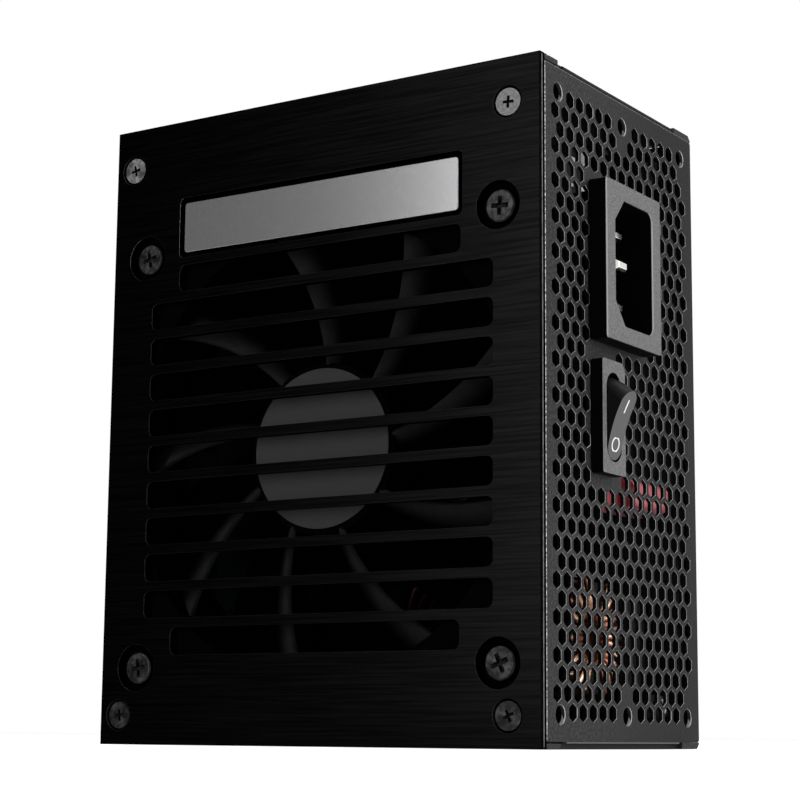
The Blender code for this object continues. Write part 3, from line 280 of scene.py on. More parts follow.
def addNode(tree, kind, *values, **named):
    # a small first letter names a setting, and a capital one an input, which takes a value or a link
    node = tree.nodes.new("ShaderNode" + kind)
    fed = list(zip(node.inputs, values))
    for label, value in named.items():
        if label[0].islower():
            setattr(node, label, value)
        else:
            fed.append((node.inputs[label.replace("_", " ")], value))
    for socket, value in fed:
        if isinstance(value, bpy.types.NodeSocket):
            tree.links.new(value, socket)
        else:
            socket.default_value = value
    return node


def newGroup(name, **inputs):
    # a group with one mask as its output; an input that isn't a number is a vector
    tree = bpy.data.node_groups.new(name, "ShaderNodeTree")
    for label, value in inputs.items():
        kind = "NodeSocketFloat" if isinstance(value, float) else "NodeSocketVector"
        made = tree.interface.new_socket(name=label, in_out="INPUT", socket_type=kind)
        if value is not None:
            made.default_value = value
    tree.interface.new_socket(name="Mask", in_out="OUTPUT", socket_type="NodeSocketFloat")
    return tree, tree.nodes.new("NodeGroupInput").outputs, tree.nodes.new("NodeGroupOutput").inputs["Mask"]


def makeGrain():
    # even or stretched noise, as a mask from 0 to 1
    tree, source, mask = newGroup("surfaceGrain", Vector=None, Scale=1000.0, Detail=2.0, Low=0.35, High=0.65)
    noise = addNode(tree, "TexNoise", Vector=source["Vector"], Scale=source["Scale"], Detail=source["Detail"])
    levels = addNode(tree, "MapRange", Value=noise.outputs["Fac"], From_Min=source["Low"], From_Max=source["High"])
    tree.links.new(levels.outputs["Result"], mask)
    return tree


def makeRings():
    # turned marks round four centres that mirror each other, as a mask from 0 to 1
    tree, source, mask = newGroup("turnedMarks", Vector=None, Centre=(0, 0, 0), Reach=(0, 0, 0), Scale=4000.0)

    def vector(operation, *values, output="Vector"):
        return addNode(tree, "VectorMath", *values, operation=operation).outputs[output]
    folded = vector("ABSOLUTE", vector("SUBTRACT", source["Vector"], source["Centre"]))
    flat = vector("MULTIPLY", vector("SUBTRACT", folded, source["Reach"]), (1, 0, 1))
    noise = addNode(tree, "TexNoise", noise_dimensions="1D", Detail=3.0,
        W=vector("LENGTH", flat, output="Value"), Scale=source["Scale"])
    tree.links.new(noise.outputs["Fac"], mask)
    return tree


def makeFade():
    # how far a place lies along Y between two depths, as a mask from 0 to 1
    tree, source, mask = newGroup("depthFade", Vector=None, Near=0.0, Far=0.01)
    levels = addNode(tree, "MapRange", interpolation_type="SMOOTHSTEP", From_Min=source["Near"],
        From_Max=source["Far"], Value=addNode(tree, "SeparateXYZ", source["Vector"]).outputs["Y"])
    tree.links.new(levels.outputs["Result"], mask)
    return tree


grainGroup = makeGrain()
fadeGroup = makeFade()
ringGroup = makeRings()
finishes = {}


def addMask(tree, group, place, **values):
    return addNode(tree, "Group", node_tree=group, Vector=place, **values).outputs["Mask"]


def addMix(tree, factor, first, second):
    return addNode(tree, "Mix", data_type="RGBA", Factor=factor, A=first, B=second).outputs["Result"]


def addFinish(name, colour, rough, metal=0.0, specular=0.5, grain=None, rings=None, paintedShade=None, **extra):
    # a grain mixes in a second colour and roughness; its relief is a depth and a strength
    made = bpy.data.materials.new(name)
    made.use_nodes = True
    tree = made.node_tree
    shader = tree.nodes["Principled BSDF"].inputs
    made.diffuse_color = (*colour, 1)
    plain = dict(Base_Color=(*colour, 1), Roughness=rough, Metallic=metal, Specular_IOR_Level=specular, **extra)
    for label, value in plain.items():
        shader[label.replace("_", " ")].default_value = value
    finishes[name] = made
    if not grain:
        return made
    place = addNode(tree, "TexCoord").outputs["Object"]
    stretched = addNode(tree, "Mapping", Vector=place, Scale=grain.get("stretch", (1, 1, 1))).outputs["Vector"]
    height = addMask(tree, grainGroup, stretched, Scale=grain["scale"], Detail=grain["detail"],
        Low=grain["low"], High=grain["high"])
    tone = addMix(tree, height, (*colour, 1), (*grain["colour"], 1))
    # a darker colour mixed in by depth along Y: painted shade
    if paintedShade:
        depth = addMask(tree, fadeGroup, place, Near=paintedShade["near"] * mm, Far=paintedShade["far"] * mm)
        tone = addMix(tree, depth, tone, (*paintedShade["colour"], 1))
    tree.links.new(tone, shader["Base Color"])
    spread = addNode(tree, "MapRange", Value=height, To_Min=rough, To_Max=grain["rough"])
    tree.links.new(spread.outputs["Result"], shader["Roughness"])
    if rings:
        height = addMask(tree, ringGroup, place, Centre=[v * mm for v in rings["centre"]],
            Reach=[v * mm for v in rings["reach"]], Scale=rings["scale"])
        # the marks run round the head, so its gloss spreads across them
        shader["Anisotropic"].default_value = rings["turned"]
        run = addNode(tree, "Tangent", direction_type="RADIAL", axis="Y")
        tree.links.new(run.outputs["Tangent"], shader["Tangent"])
    relief = (rings or grain).get("relief")
    if relief:
        bump = addNode(tree, "Bump", Distance=relief[0] * mm, Strength=relief[1], Height=height)
        tree.links.new(bump.outputs["Normal"], shader["Normal"])
    return made


def grey(value, blue=None):
    return value, value, blue or value


def grained(scale, detail, colour, rough, low=0.35, high=0.65, **more):
    return dict(scale=scale, detail=detail, colour=colour, rough=rough, low=low, high=high, **more)


def turned(centre, reach, gloss):
    return dict(centre=centre, reach=reach, scale=2500, relief=(0.014, 0.45), turned=gloss)


fanRings = turned((0, 0, 56.1), (41.25, 0, 41.25), 0.85)
cornerRings = turned((-1.1, 0, 61.1), (44.3, 0, 55.4), 0.8)

addFinish("brushed", grey(0.00083, 0.00085), 0.24, 1.0, 0.3, Specular_Tint=(0, 0, 0, 1), grain=grained(
    1.0, 4, grey(0.00172, 0.00176), 0.26, 0.34, 0.66, stretch=(60, 400, 2400), relief=(0.004, 0.2)))
addFinish("brushedEdge", grey(0.011, 0.0115), 0.34, 1.0)
addFinish("brushedGlint", grey(0.21, 0.212), 0.34, 1.0)
addFinish("holeGlint", grey(0.045, 0.046), 0.34, 1.0)
addFinish("plateSide", grey(0.0020, 0.0021), 0.5, 0.0, 0.0, grained(1700, 3, grey(0.0042, 0.0043), 0.5, 0.46, 0.64))
addFinish("badge", grey(0.085, 0.0865), 0.20, 1.0,
    grain=grained(2200, 2, grey(0.091, 0.0925), 0.215, relief=(0.002, 0.2)))
addFinish("badgeEdge", grey(0.30, 0.31), 0.30, 1.0)
addFinish("coat", grey(0.014, 0.0145), 0.60, 0.0, 0.18,
    grained(1700, 4, grey(0.034, 0.035), 0.68, 0.44, 0.62, relief=(0.05, 0.55)))
# the rear panel's coat darkens towards +Y: painted shade
addFinish("coatPanelPaintedShade", grey(0.0105, 0.0108), 0.60, 0.0, 0.18,
    grained(1600, 4, grey(0.039, 0.040), 0.68, 0.44, 0.62, relief=(0.05, 0.55)),
    paintedShade=dict(near=-22, far=24, colour=grey(0.0045, 0.0046)))
# a darker copy of the coat, for faces that stand in shade: painted shade
addFinish("coatPaintedShade", grey(0.008, 0.0082), 0.6, 0.0, 0.1, grained(1700, 4, grey(0.017, 0.0172), 0.68, 0.42, 0.64))
addFinish("webShade", grey(0.0010), 0.7, 0.0, 0.0)
addFinish("foldPaintedHighlight", grey(0.075, 0.076), 0.5, 0.0, 0.3, grained(1700, 3, grey(0.11, 0.111), 0.5, 0.44, 0.62))
addFinish("paintedTopHighlight", grey(0.34, 0.345), 0.5, 0.0, 0.3)
addFinish("threadWall", grey(0.05), 0.45, 0.3, 0.3)
addFinish("threadPaintedGlint", grey(0.90), 0.30, 0.5, 0.5)
addFinish("holeWallPaintedShade", grey(0.004), 0.7, 0.0, 0.05)
addFinish("rimPaintedHighlight", grey(0.56, 0.565), 0.5, 0.0, 0.4)
addFinish("coatRim", grey(0.10, 0.101), 0.5, 0.0, 0.3)
addFinish("bendPaintedHighlight", grey(0.10, 0.101), 0.45, 0.0, 0.4,
    grained(1.0, 3, grey(0.85, 0.86), 0.4, 0.43, 0.60, stretch=(600, 600, 1500)))
addFinish("seamLine", grey(0.055, 0.056), 0.45, 0.0, 0.4,
    grained(1.0, 3, grey(0.12, 0.121), 0.4, 0.40, 0.60, stretch=(500, 500, 900)))
addFinish("shroud", grey(0.0010), 0.5, 0.0, 0.0, grained(900, 2, grey(0.0014), 0.55))
# the blades darken with depth into the fan: painted shade
addFinish("blade", grey(0.0105, 0.0106), 0.42, 0.0, 0.0,
    grained(700, 3, grey(0.0135, 0.0136), 0.5, relief=(0.006, 0.3)),
    paintedShade=dict(near=-27.7, far=-25.4, colour=grey(0.0004)))
addFinish("disc", grey(0.009, 0.0092), 0.6, 0.0, 0.15,
    grained(260, 5, grey(0.0145, 0.0148), 0.66, 0.36, 0.66, relief=(0.006, 0.3)))
addFinish("mouldedFace", grey(0.110, 0.112), 0.62, 0.0, 0.25,
    grained(2400, 3, grey(0.185, 0.188), 0.7, 0.40, 0.62, relief=(0.03, 0.5)))
addFinish("mouldedPaintedHighlight", grey(0.36, 0.363), 0.5, 0.0, 0.3)
addFinish("mouldedPaintedShade", grey(0.002, 0.0021), 0.4, 0.0, 0.02)
addFinish("rocker", grey(0.092, 0.094), 0.55, 0.0, 0.2,
    grained(2600, 2, grey(0.104, 0.106), 0.6, relief=(0.008, 0.3)))
addFinish("rockerPaintedShade", grey(0.0035, 0.0036), 0.42, 0.0, 0.12)
addFinish("mark", grey(0.86), 0.45)
for name, colour, rough, second, rings in (("fanScrew", 0.0060, 0.30, 0.016, fanRings),
        ("plateScrew", 0.040, 0.32, 0.084, cornerRings),
        ("screwPaintedShade", 0.0055, 0.32, 0.014, cornerRings)):
    addFinish(name, grey(colour), rough, 1.0, rings=rings,
        grain=grained(900, 4, grey(second), rough + 0.06, 0.42, 0.60))
addFinish("paleScrew", grey(0.032), 0.36, 1.0, grain=grained(2200, 3, grey(0.060), 0.42, 0.40, 0.62))
addFinish("recess", grey(0.0015), 0.5, 0.0, 0.05)
addFinish("zincScrew", grey(0.50), 0.35, 1.0)
addFinish("blackScrew", grey(0.06), 0.38, 1.0)
addFinish("steel", grey(0.55, 0.56), 0.22, 1.0)
addFinish("brass", (0.62, 0.44, 0.18), 0.32, 1.0)
addFinish("nickel", (0.74, 0.73, 0.70), 0.20, 1.0)
addFinish("tinned", grey(0.95, 0.93), 0.35)
addFinish("ferrite", (0.012, 0.0115, 0.011), 0.70, 0.0, 0.15,
    grained(1500, 4, (0.022, 0.021, 0.020), 0.8, relief=(0.02, 0.4)))
addFinish("copper", (0.98, 0.64, 0.46), 0.24, 1.0, grain=grained(260, 3, (0.34, 0.13, 0.09), 0.34, 0.42, 0.60))
addFinish("copperPaintedShade", (0.035, 0.013, 0.009), 0.34, 1.0)
addFinish("tape", (0.055, 0.038, 0.010), 0.40, 0.0, 0.2,
    grained(1.0, 2, (0.040, 0.028, 0.008), 0.46, stretch=(40, 700, 40)))
addFinish("film", (0.96, 0.30, 0.33), 0.36, grain=grained(700, 3, (0.92, 0.22, 0.26), 0.45, relief=(0.02, 0.3)))
addFinish("can", grey(0.004, 0.005), 0.30, 0.0, 0.15)
addFinish("canTop", grey(0.30, 0.31), 0.35, 1.0)
addFinish("board", (0.002, 0.006, 0.004), 0.5, 0.0, 0.08, grained(500, 5, (0.003, 0.009, 0.005), 0.55))
addFinish("insulator", grey(0.10, 0.09), 0.4, 0.0, 0.2)
addFinish("heatsink", grey(0.010, 0.011), 0.45, 0.6, 0.3)
addFinish("socket", grey(0.010, 0.0105), 0.46, 0.0, 0.25,
    grained(1400, 2, grey(0.014, 0.0145), 0.54, relief=(0.006, 0.3)))
addFinish("sleeve", grey(0.006), 0.50, 0.0, 0.15)
print("finishes made:", len(finishes))


# Front plate

caseFace = 50.0
caseHeight = 125.0
plateSizes = dict(slotCount=11, slotPitch=7.23, slotHeight=5.4, slotLong=79.9, slotShort=66.1,
    slotCorner=1.4, slotMiddle=0.3, fanHeight=56.1, fanHole=9.2, fanScrewReach=41.25,
    screwRecess=6.1, screwHole=3.2, sinkStretch=0.02, windowLength=66.7, windowHeight=12.3,
    windowCorner=1.2, windowMiddle=102.7, windowRim=0.3, edge=0.17, chamfer=0.15, backing=0.27,
    rim=1.2, seam=(0.66, 0.98), seamSink=0.3, seamProud=0.03, seamShort=0.4)
cornerScrews = [(-45.4, 116.5), (43.2, 116.5), (-45.4, 5.7), (43.2, 5.7)]
fanUp = plateSizes["fanHeight"]
fanScrews = [(x * plateSizes["fanScrewReach"], fanUp + z * plateSizes["fanScrewReach"])
    for z in (1, -1) for x in (-1, 1)]


def makeFrontPlate():
    s = plateSizes
    low, high = boxOf("front_plate")
    plate = addBlock("frontPlate", low, (high.x, high.y + s["backing"], high.z))
    bevelEdges(plate, s["chamfer"], 1, lambda a, b: max(a.y, b.y) < low.y + close)

    def openingAt(z, length, height, corner):
        block = addBlock("opening", (s["slotMiddle"] - length / 2, low.y - 1, z - height / 2),
            (s["slotMiddle"] + length / 2, high.y + 1, z + height / 2))
        return roundCorners(block, 1, corner)
    cutters = []
    last = s["slotCount"] - 1
    for i in range(s["slotCount"]):
        length = s["slotShort"] if i in (0, last) else s["slotLong"]
        cutters.append(openingAt(fanUp + (i - last / 2) * s["slotPitch"], length, s["slotHeight"], s["slotCorner"]))
    cutters.append(openingAt(s["windowMiddle"], s["windowLength"], s["windowHeight"], s["windowCorner"]))
    for x, z in fanScrews:
        cutters.append(addRod("hole", (x, low.y, z), axisY, s["fanHole"] / 2, 6, 72))
    for x, z in cornerScrews:
        cutters.append(addRod("hole", (x, high.y, z), axisY, s["screwHole"] / 2, 2, 56))
    combine(plate, gather(cutters))
    middle = (low.y + high.y) / 2
    sinks = [addRod("sink", (x, middle, z), axisY, s["screwRecess"] / 2, high.y - low.y, 56,
        farRadius=s["screwHole"] / 2) for x, z in cornerScrews]
    for sink in sinks:
        # a hair longer, so that it stands out of both faces
        sink.scale.y = 1 + s["sinkStretch"]
        sink.location.y = -s["sinkStretch"] * middle * mm
        settle(sink)
    combine(plate, gather(sinks))
    soften(plate, s["edge"], 3)
    hand(plate, "brushed", "brushed_plate", "front_plate")

    def onRim(c):
        return not (between(c.x, low.x, high.x, s["rim"]) and between(c.z, low.z, high.z, s["rim"]))

    def onEdge(n, c):
        return -0.97 < n.y < -0.12 and c.y < low.y + 0.5 and not onRim(c)

    def paintedGlintEdge(n, c):
        return onEdge(n, c) and n.x > 0.3
    windowHalf = s["windowHeight"] / 2 + s["windowRim"]
    paint(plate, "brushedEdge", onEdge)
    # the openings' ends that face +X take a painted highlight, brighter still at the window's left end
    paint(plate, "holeGlint", paintedGlintEdge)
    paint(plate, "brushedGlint", lambda n, c: paintedGlintEdge(n, c) and abs(c.z - s["windowMiddle"]) < windowHalf and c.x < 0)
    paint(plate, "plateSide", lambda n, c: n.x > 0.3 and onRim(c))
    near, far = s["seam"]
    line = addBlock("plateSeam", (high.x - s["seamSink"], low.y + near, low.z + s["seamShort"]),
        (high.x + s["seamProud"], low.y + far, high.z - s["seamShort"]))
    hand(soften(line, 0.02, 1), "seamLine", "brushed_plate")


makeFrontPlate()

badgeSizes = dict(corner=0.7, edge=0.14)


def makeBadge():
    badge = addBlock("badgePlate", *boxOf("badge_plate"))
    roundCorners(badge, 1, badgeSizes["corner"])
    soften(badge, badgeSizes["edge"], 3)
    hand(badge, "badge", "badge", "badge_plate")
    paint(badge, "badgeEdge", lambda n, c: -0.96 < n.y < -0.1)


makeBadge()
print("front plate and badge made")


# Case

coverSizes = dict(sheet=1.0, edge=0.12, bend=0.3, webEnd=49.05, webClear=0.3, tabStart=24.0, tabCorner=0.95,
    tabFrom=0.05, tabTo=1.29, tabDepth=2.0, tabInset=0.03, backRim=0.6, shadeDepth=1.05)


def makeCover():
    s = coverSizes
    cover = framePiece("fan_cover", "fanCover")
    low, high = boxOf("fan_cover")
    for z in (0, high.z - s["sheet"]):
        corner = addBlock("corner", (low.x, low.y, z), (high.x, low.y + s["sheet"], z + s["sheet"]))
        roundCorners(corner, 0, s["bend"], 4, lambda m: m.y < low.y + 0.1 and (m.z < 0.1 or m.z > high.z - 0.1))
        combine(cover, corner, "UNION")
    # a tab at each side runs on to the rear panel, its outer corner cut off
    for outer, inner in ((s["tabFrom"], s["tabTo"]), (high.z - s["tabFrom"], high.z - s["tabTo"])):
        tab = addBlock("tab", (high.x - s["tabDepth"], s["tabStart"], min(outer, inner)),
            (high.x - s["tabInset"], high.y - s["tabInset"], max(outer, inner)))
        roundCorners(tab, 0, s["tabCorner"], 1, lambda m: m.y > s["tabStart"] + 1 and abs(m.z - outer) < 0.1)
        combine(cover, tab, "UNION")
    combine(cover, addBlock("webCut", (s["webEnd"], low.y - 0.5, s["sheet"]),
        (high.x + 1, low.y + s["sheet"] + s["webClear"], high.z - s["sheet"])))
    soften(cover, s["edge"], 2, 40)
    hand(cover, "coat", "powder_coat", "fan_cover")
    # the cover's +X faces set back behind the rim are darker: painted shade
    paint(cover, "coatPaintedShade", lambda n, c: n.x > 0.5 and 40 < c.x < high.x - s["backRim"])
    # the web's front face behind the plate is near black: painted shade
    paint(cover, "webShade", lambda n, c: c.y < low.y + s["shadeDepth"] and between(c.x, low.x, high.x, 3)
        and between(c.z, low.z, high.z, 2))


panelSizes = dict(sheet=0.8, edge=0.23, side=-30.15, corner=0.45, paintedTopHighlight=0.2,
    lip=(-29.99, -29.70), lipSink=0.5, lipProud=0.05, lipShort=0.2)
threadSizes = dict(places=[(y, z) for y in (-25.0, 0.75, 26.5) for z in (6.0, 119.0)], radius=1.55, reach=1.9,
    outer=2.5, length=2.2, gap=0.04)


def makePanel():
    s = panelSizes
    low, high = boxOf("rear_panel")
    panel = framePiece("rear_panel", "rearPanel", whole=False)
    moveCorners(panel, lambda c: abs(c.y - low.y) < close, 0, s["side"] - low.y, 0)
    for z, way in ((low.z, 1), (high.z, -1)):
        # the corner's cut is made smaller: first how large it is
        depths = [(c.co.z / mm - z) * way for c in panel.data.vertices if abs(c.co.y / mm - high.y) < close]
        cut = max(depth for depth in depths if depth < 5)
        move = cut - s["corner"]
        moveCorners(panel, lambda c: abs(c.y - high.y) < close and abs(c.z - z - cut * way) < close,
            0, 0, -move * way)
        moveCorners(panel, lambda c: abs(c.y - high.y + cut) < close and abs(c.z - z) < close, 0, move, 0)
    soften(panel, s["edge"], 2, 40)
    hand(panel, "coatPanelPaintedShade", "powder_coat", "rear_panel")

    def inSheet(c):
        return (c.x > high.x - s["sheet"] - close and between(c.y, low.y, high.y, 1)
            and between(c.z, low.z, high.z, 1))

    def onRim(n, c):
        return 0.15 < n.x < 0.97 and inSheet(c)

    def inTapped(n, c):
        # how far a face of a tapped hole's wall lies off its axis
        return [(c.y - y, c.z - z) for y, z in threadSizes["places"] if abs(n.x) < 0.15 and inSheet(c)
            and math.hypot(c.y - y, c.z - z) < threadSizes["reach"]]
    # the walls of the holes are near black: painted shade
    paint(panel, "holeWallPaintedShade", lambda n, c: abs(n.x) < 0.15 and inSheet(c))
    # the holes' rims are paler all round, with a painted highlight on their -Y side
    paint(panel, "coatRim", onRim)
    paint(panel, "rimPaintedHighlight", lambda n, c: onRim(n, c) and n.y < -0.15)
    paint(panel, "threadWall", inTapped)
    # a bright patch on the lower +Y side of each tapped hole's wall: painted highlight
    paint(panel, "threadPaintedGlint", lambda n, c: any(y > 0.4 and -1.65 < z < -0.35 for y, z in inTapped(n, c)))
    # a pale line along the panel's top edge: painted highlight
    paint(panel, "paintedTopHighlight", lambda n, c: c.z > high.z - s["paintedTopHighlight"] and n.z > 0.2 and n.x > 0.05)
    # a speckled pale strip along the panel's front bend: painted highlight
    near, far = s["lip"]
    lip = addBlock("panelLip", (high.x - s["lipSink"], near, low.z + s["lipShort"]),
        (high.x + s["lipProud"], far, high.z - s["lipShort"]))
    hand(soften(lip, 0.12, 2), "bendPaintedHighlight", "powder_coat")


foldSizes = dict(half=22.75, face=49.97, depth=0.9, heights=((1.03, 1.38), (123.74, 124.6)), roundness=0.42)
seamShadeSizes = dict(face=48.6, thick=1.2, front=-28.4, back=30.8, foot=1.03, height=0.33,
    frontSeam=(-28.98, -28.6), frontShort=1.5)


def makeFolds():
    # the rolled edges of the panel's flanges
    s = foldSizes
    folds = []
    for low, high in s["heights"]:
        fold = addBlock("fold", (s["face"] - s["depth"], -s["half"], low), (s["face"], s["half"], high))
        folds.append(roundCorners(fold, 1, (high - low) * s["roundness"], 4, lambda m: m.x > s["face"] - 0.1))
    # the upper fold takes a darker copy of the coat and the lower fold a paler copy: painted shade and painted
    # highlight
    folded = hand(smooth(gather(folds, "panelFolds")), "coatPaintedShade", "powder_coat")
    paint(folded, "foldPaintedHighlight", lambda n, c: c.z < caseHeight / 2)


def makeSeamShade():
    # dark strips inside the seams, so that the gaps show black: painted shade
    s = seamShadeSizes
    shadeStrips = []
    for x in (s["face"], s["thick"] - s["face"]):
        for z in (s["foot"], caseHeight - s["foot"] - s["height"]):
            shadeStrips.append(addBlock("seal", (x - s["thick"], s["front"], z), (x, s["back"], z + s["height"])))
    near, far = s["frontSeam"]
    shadeStrips.append(addBlock("seal", (-s["face"], near, s["frontShort"]),
        (s["thick"] - s["face"], far, caseHeight - s["frontShort"])))
    hand(soften(gather(shadeStrips, "seamShadeStrips"), 0.05, 1), "recess", "powder_coat")


def makeThreads():
    # pressed collars behind the six tapped holes
    s = threadSizes
    rings = []
    for y, z in s["places"]:
        centre = (caseFace - panelSizes["sheet"] - s["gap"] - s["length"] / 2, y, z)
        ring = addRod("ring", centre, axisX, s["outer"], s["length"], 40)
        rings.append(combine(ring, addRod("bore", centre, axisX, s["radius"], s["length"] + 1, 40)))
    hand(soften(gather(rings, "threadCollars"), 0.12, 2, 40), "shroud", "powder_coat")


makeCover()
hand(framePiece("chassis_tray", "chassisTray", coverSizes["edge"], 2, 40), "coat", "powder_coat", "chassis_tray")
makePanel()
makeFolds()
makeSeamShade()
makeThreads()
print("case made")


# Fan

fanSizes = dict(hubRadius=16.5, hubWall=1.4, hubSink=0.9, hubLength=10.2, discGap=0.7, recess=0.35,
    bladeCount=9, bladeThickness=1.15, startAngle=87.5, sweep=0.653, chord=35.0,
    sink=1.1, depth=8.8, bow=0.25, tip=44.0, spanSteps=14, chordSteps=14)
discSizes = dict(ringInset=1.6, ringWidth=0.5, dent=0.12)
fanFrameSizes = dict(half=46.0, corner=4.5, rim=2.8, bore=44.7, duct=1.1, post=3.9, hole=2.0,
    seat=16.0, seatDepth=2.5, tubeInner=2.9, tubeWall=1.0, tubeSink=4.3, tubeShort=1.0,
    strutCount=4, strutRoot=14.4, strutTip=45.2, strutHalf=(1.15, 1.6), strutTurn=45, strutLean=20)
fanNear, fanFar = (corner.y for corner in boxOf("fan_frame"))


def bladePoint(radius, along):
    s = fanSizes
    angle = math.radians(s["startAngle"] + s["sweep"] * (radius - s["hubRadius"]) - s["chord"] * along)
    y = fanNear + s["sink"] + s["depth"] * along * (1 + s["bow"] - s["bow"] * along)
    return Vector((radius * math.cos(angle), y, fanUp + radius * math.sin(angle))) * mm


def makeBlade():
    s = fanSizes
    bpy.ops.mesh.primitive_grid_add(x_subdivisions=s["spanSteps"], y_subdivisions=s["chordSteps"], size=1)
    blade = bpy.context.object
    root = s["hubRadius"] - s["hubWall"] / 2
    for corner in blade.data.vertices:
        corner.co = bladePoint(root + (s["tip"] - root) * (corner.co.x + 0.5), corner.co.y + 0.5)
    blade.data.update()
    modify(blade, "SOLIDIFY", thickness=s["bladeThickness"] * mm, offset=0, use_even_offset=True)
    return soften(fixNormals(blade), 0.3, 2, 50)


def makeRotor():
    s = fanSizes
    middle = fanNear + s["hubSink"] + s["hubLength"] / 2
    hub = addRod("fanRotor", (0, middle, fanUp), axisY, s["hubRadius"], s["hubLength"], 108)
    # a shallow recess for the disc in front, and a deep one behind
    for way, width, depth in ((-1, s["discGap"], s["recess"]),
            (1, s["hubWall"], s["recess"] + s["hubWall"] - s["hubLength"])):
        choose(hub, "FACE", lambda n, c: n.y * way > 0.9)
        insetFaces(width)
        shift(0, depth, 0)
        setMode("OBJECT")
    soften(hub, 0.25, 2, 40)
    blade = makeBlade()
    centre = Matrix.Translation((0, 0, fanUp * mm))
    blades = [blade]
    for i in range(1, s["bladeCount"]):
        turn = Matrix.Rotation(i * 2 * math.pi / s["bladeCount"], 4, "Y")
        blades.append(copyOf(blade, "blade", centre @ turn @ centre.inverted()))
    combine(hub, gather(blades), "UNION")
    smooth(hub, 35)
    hand(hub, "blade", "fan_plastic", "fan_rotor", body="fan")
    paint(hub, "shroud", lambda n, c: math.hypot(c.x, c.z - fanUp) < s["hubRadius"] + 0.05)


def makeHubDisc():
    s = discSizes
    low, high = boxOf("hub_disc")
    radius = (high.x - low.x) / 2
    disc = addRod("hubDisc", (0, (low.y + high.y) / 2, fanUp), axisY, radius, high.y - low.y, 108)
    choose(disc, "FACE", lambda n, c: n.y < -0.9)
    insetFaces(radius - s["ringInset"])
    insetFaces(s["ringWidth"])
    shift(0, s["dent"], 0)
    setMode("OBJECT")
    soften(disc, 0.06, 2, 25)
    hand(disc, "disc", "hub_label", "hub_disc", body="fan")


def makeFanFrame():
    s = fanFrameSizes

    def flange(name, near):
        block = addBlock(name, (-s["half"], near, fanUp - s["half"]), (s["half"], near + s["rim"], fanUp + s["half"]))
        return roundCorners(block, 1, s["corner"])

    def rod(name, x, y, z, radius, length, sides):
        return addRod(name, (x, y, z), axisY, radius, length, sides)
    body = flange("fanFrame", fanNear)
    combine(body, flange("flange", fanFar - s["rim"]), "UNION")
    middle, length = (fanNear + fanFar) / 2, fanFar - fanNear
    combine(body, rod("duct", 0, middle, fanUp, s["bore"] + s["duct"], length - 1, 144), "UNION")
    for x, z in fanScrews:
        combine(body, rod("post", x, middle, z, s["post"], length - 1, 32), "UNION")
    combine(body, rod("bore", 0, middle, fanUp, s["bore"], length + 2, 144))
    combine(body, gather([rod("hole", x, middle, z, s["hole"], length + 2, 32) for x, z in fanScrews]))
    seatMiddle = fanFar - s["seatDepth"] / 2
    seat = rod("seat", 0, seatMiddle, fanUp, s["seat"], s["seatDepth"], 96)
    tubeNear, tubeFar = fanNear + s["tubeSink"], fanFar - s["tubeShort"]
    tubeMiddle, tubeLength = (tubeNear + tubeFar) / 2, tubeFar - tubeNear
    combine(seat, rod("tube", 0, tubeMiddle, fanUp, s["tubeInner"] + s["tubeWall"], tubeLength, 48), "UNION")
    wide, tall = s["strutHalf"]
    for i in range(s["strutCount"]):
        turn = math.radians(s["strutTurn"] + 360 / s["strutCount"] * i)
        lean = turn + math.radians(s["strutLean"])
        root = Vector((math.cos(turn), math.sin(turn))) * s["strutRoot"]
        tip = Vector((math.cos(lean), math.sin(lean))) * s["strutTip"]
        run, centre = tip - root, (root + tip) / 2
        bar = addBlock("strut", (-run.length / 2, -wide, -tall), (run.length / 2, wide, tall))
        bar.matrix_world = (Matrix.Translation(Vector((centre.x, seatMiddle, fanUp + centre.y)) * mm)
            @ Matrix.Rotation(-math.atan2(run.y, run.x), 4, "Y"))
        combine(seat, settle(bar), "UNION")
    combine(body, seat, "UNION")
    combine(body, rod("well", 0, tubeMiddle - 1, fanUp, s["tubeInner"], tubeLength + 2, 48))
    soften(body, 0.2, 2, 40)
    hand(body, "shroud", "fan_plastic", "fan_frame")


makeRotor()
makeHubDisc()
makeFanFrame()
print("fan made")


# Screws, each made once along Z at the origin and then copied to its places

screwSizes = dict(fan=dict(radius=3.3, height=0.9, shank=1.7, length=8.0, dome=0.6, drive=0.62),
    plate=dict(radius=2.6, height=1.2, shank=1.3, length=2.5, drive=0.50),
    cover=dict(radius=2.5, height=1.2, shank=1.3, length=3.0, drive=0.52),
    board=dict(radius=2.6, height=1.6, shank=1.25, length=2.6, dome=0.7, drive=0.55))
driveSizes = dict(depth=0.75, width=0.23, foot=(0.45, 0.6, 1))
screwSpins = (12, -4, 8, 23)


def crossCutter(size):
    # two tapered wings, crossed, whose top lies just over z 0
    s = driveSizes
    wings = []
    for turn in (0, math.pi / 2):
        wing = addBlock("wing", (-size, -size * s["width"], -s["depth"]), (size, size * s["width"], 0.2))
        choose(wing, "FACE", lambda n, c: n.z < -0.9)
        bpy.ops.transform.resize(value=s["foot"])
        setMode("OBJECT")
        wing.rotation_euler.z = turn
        wings.append(settle(wing))
    return combine(wings[0], wings[1], "UNION")


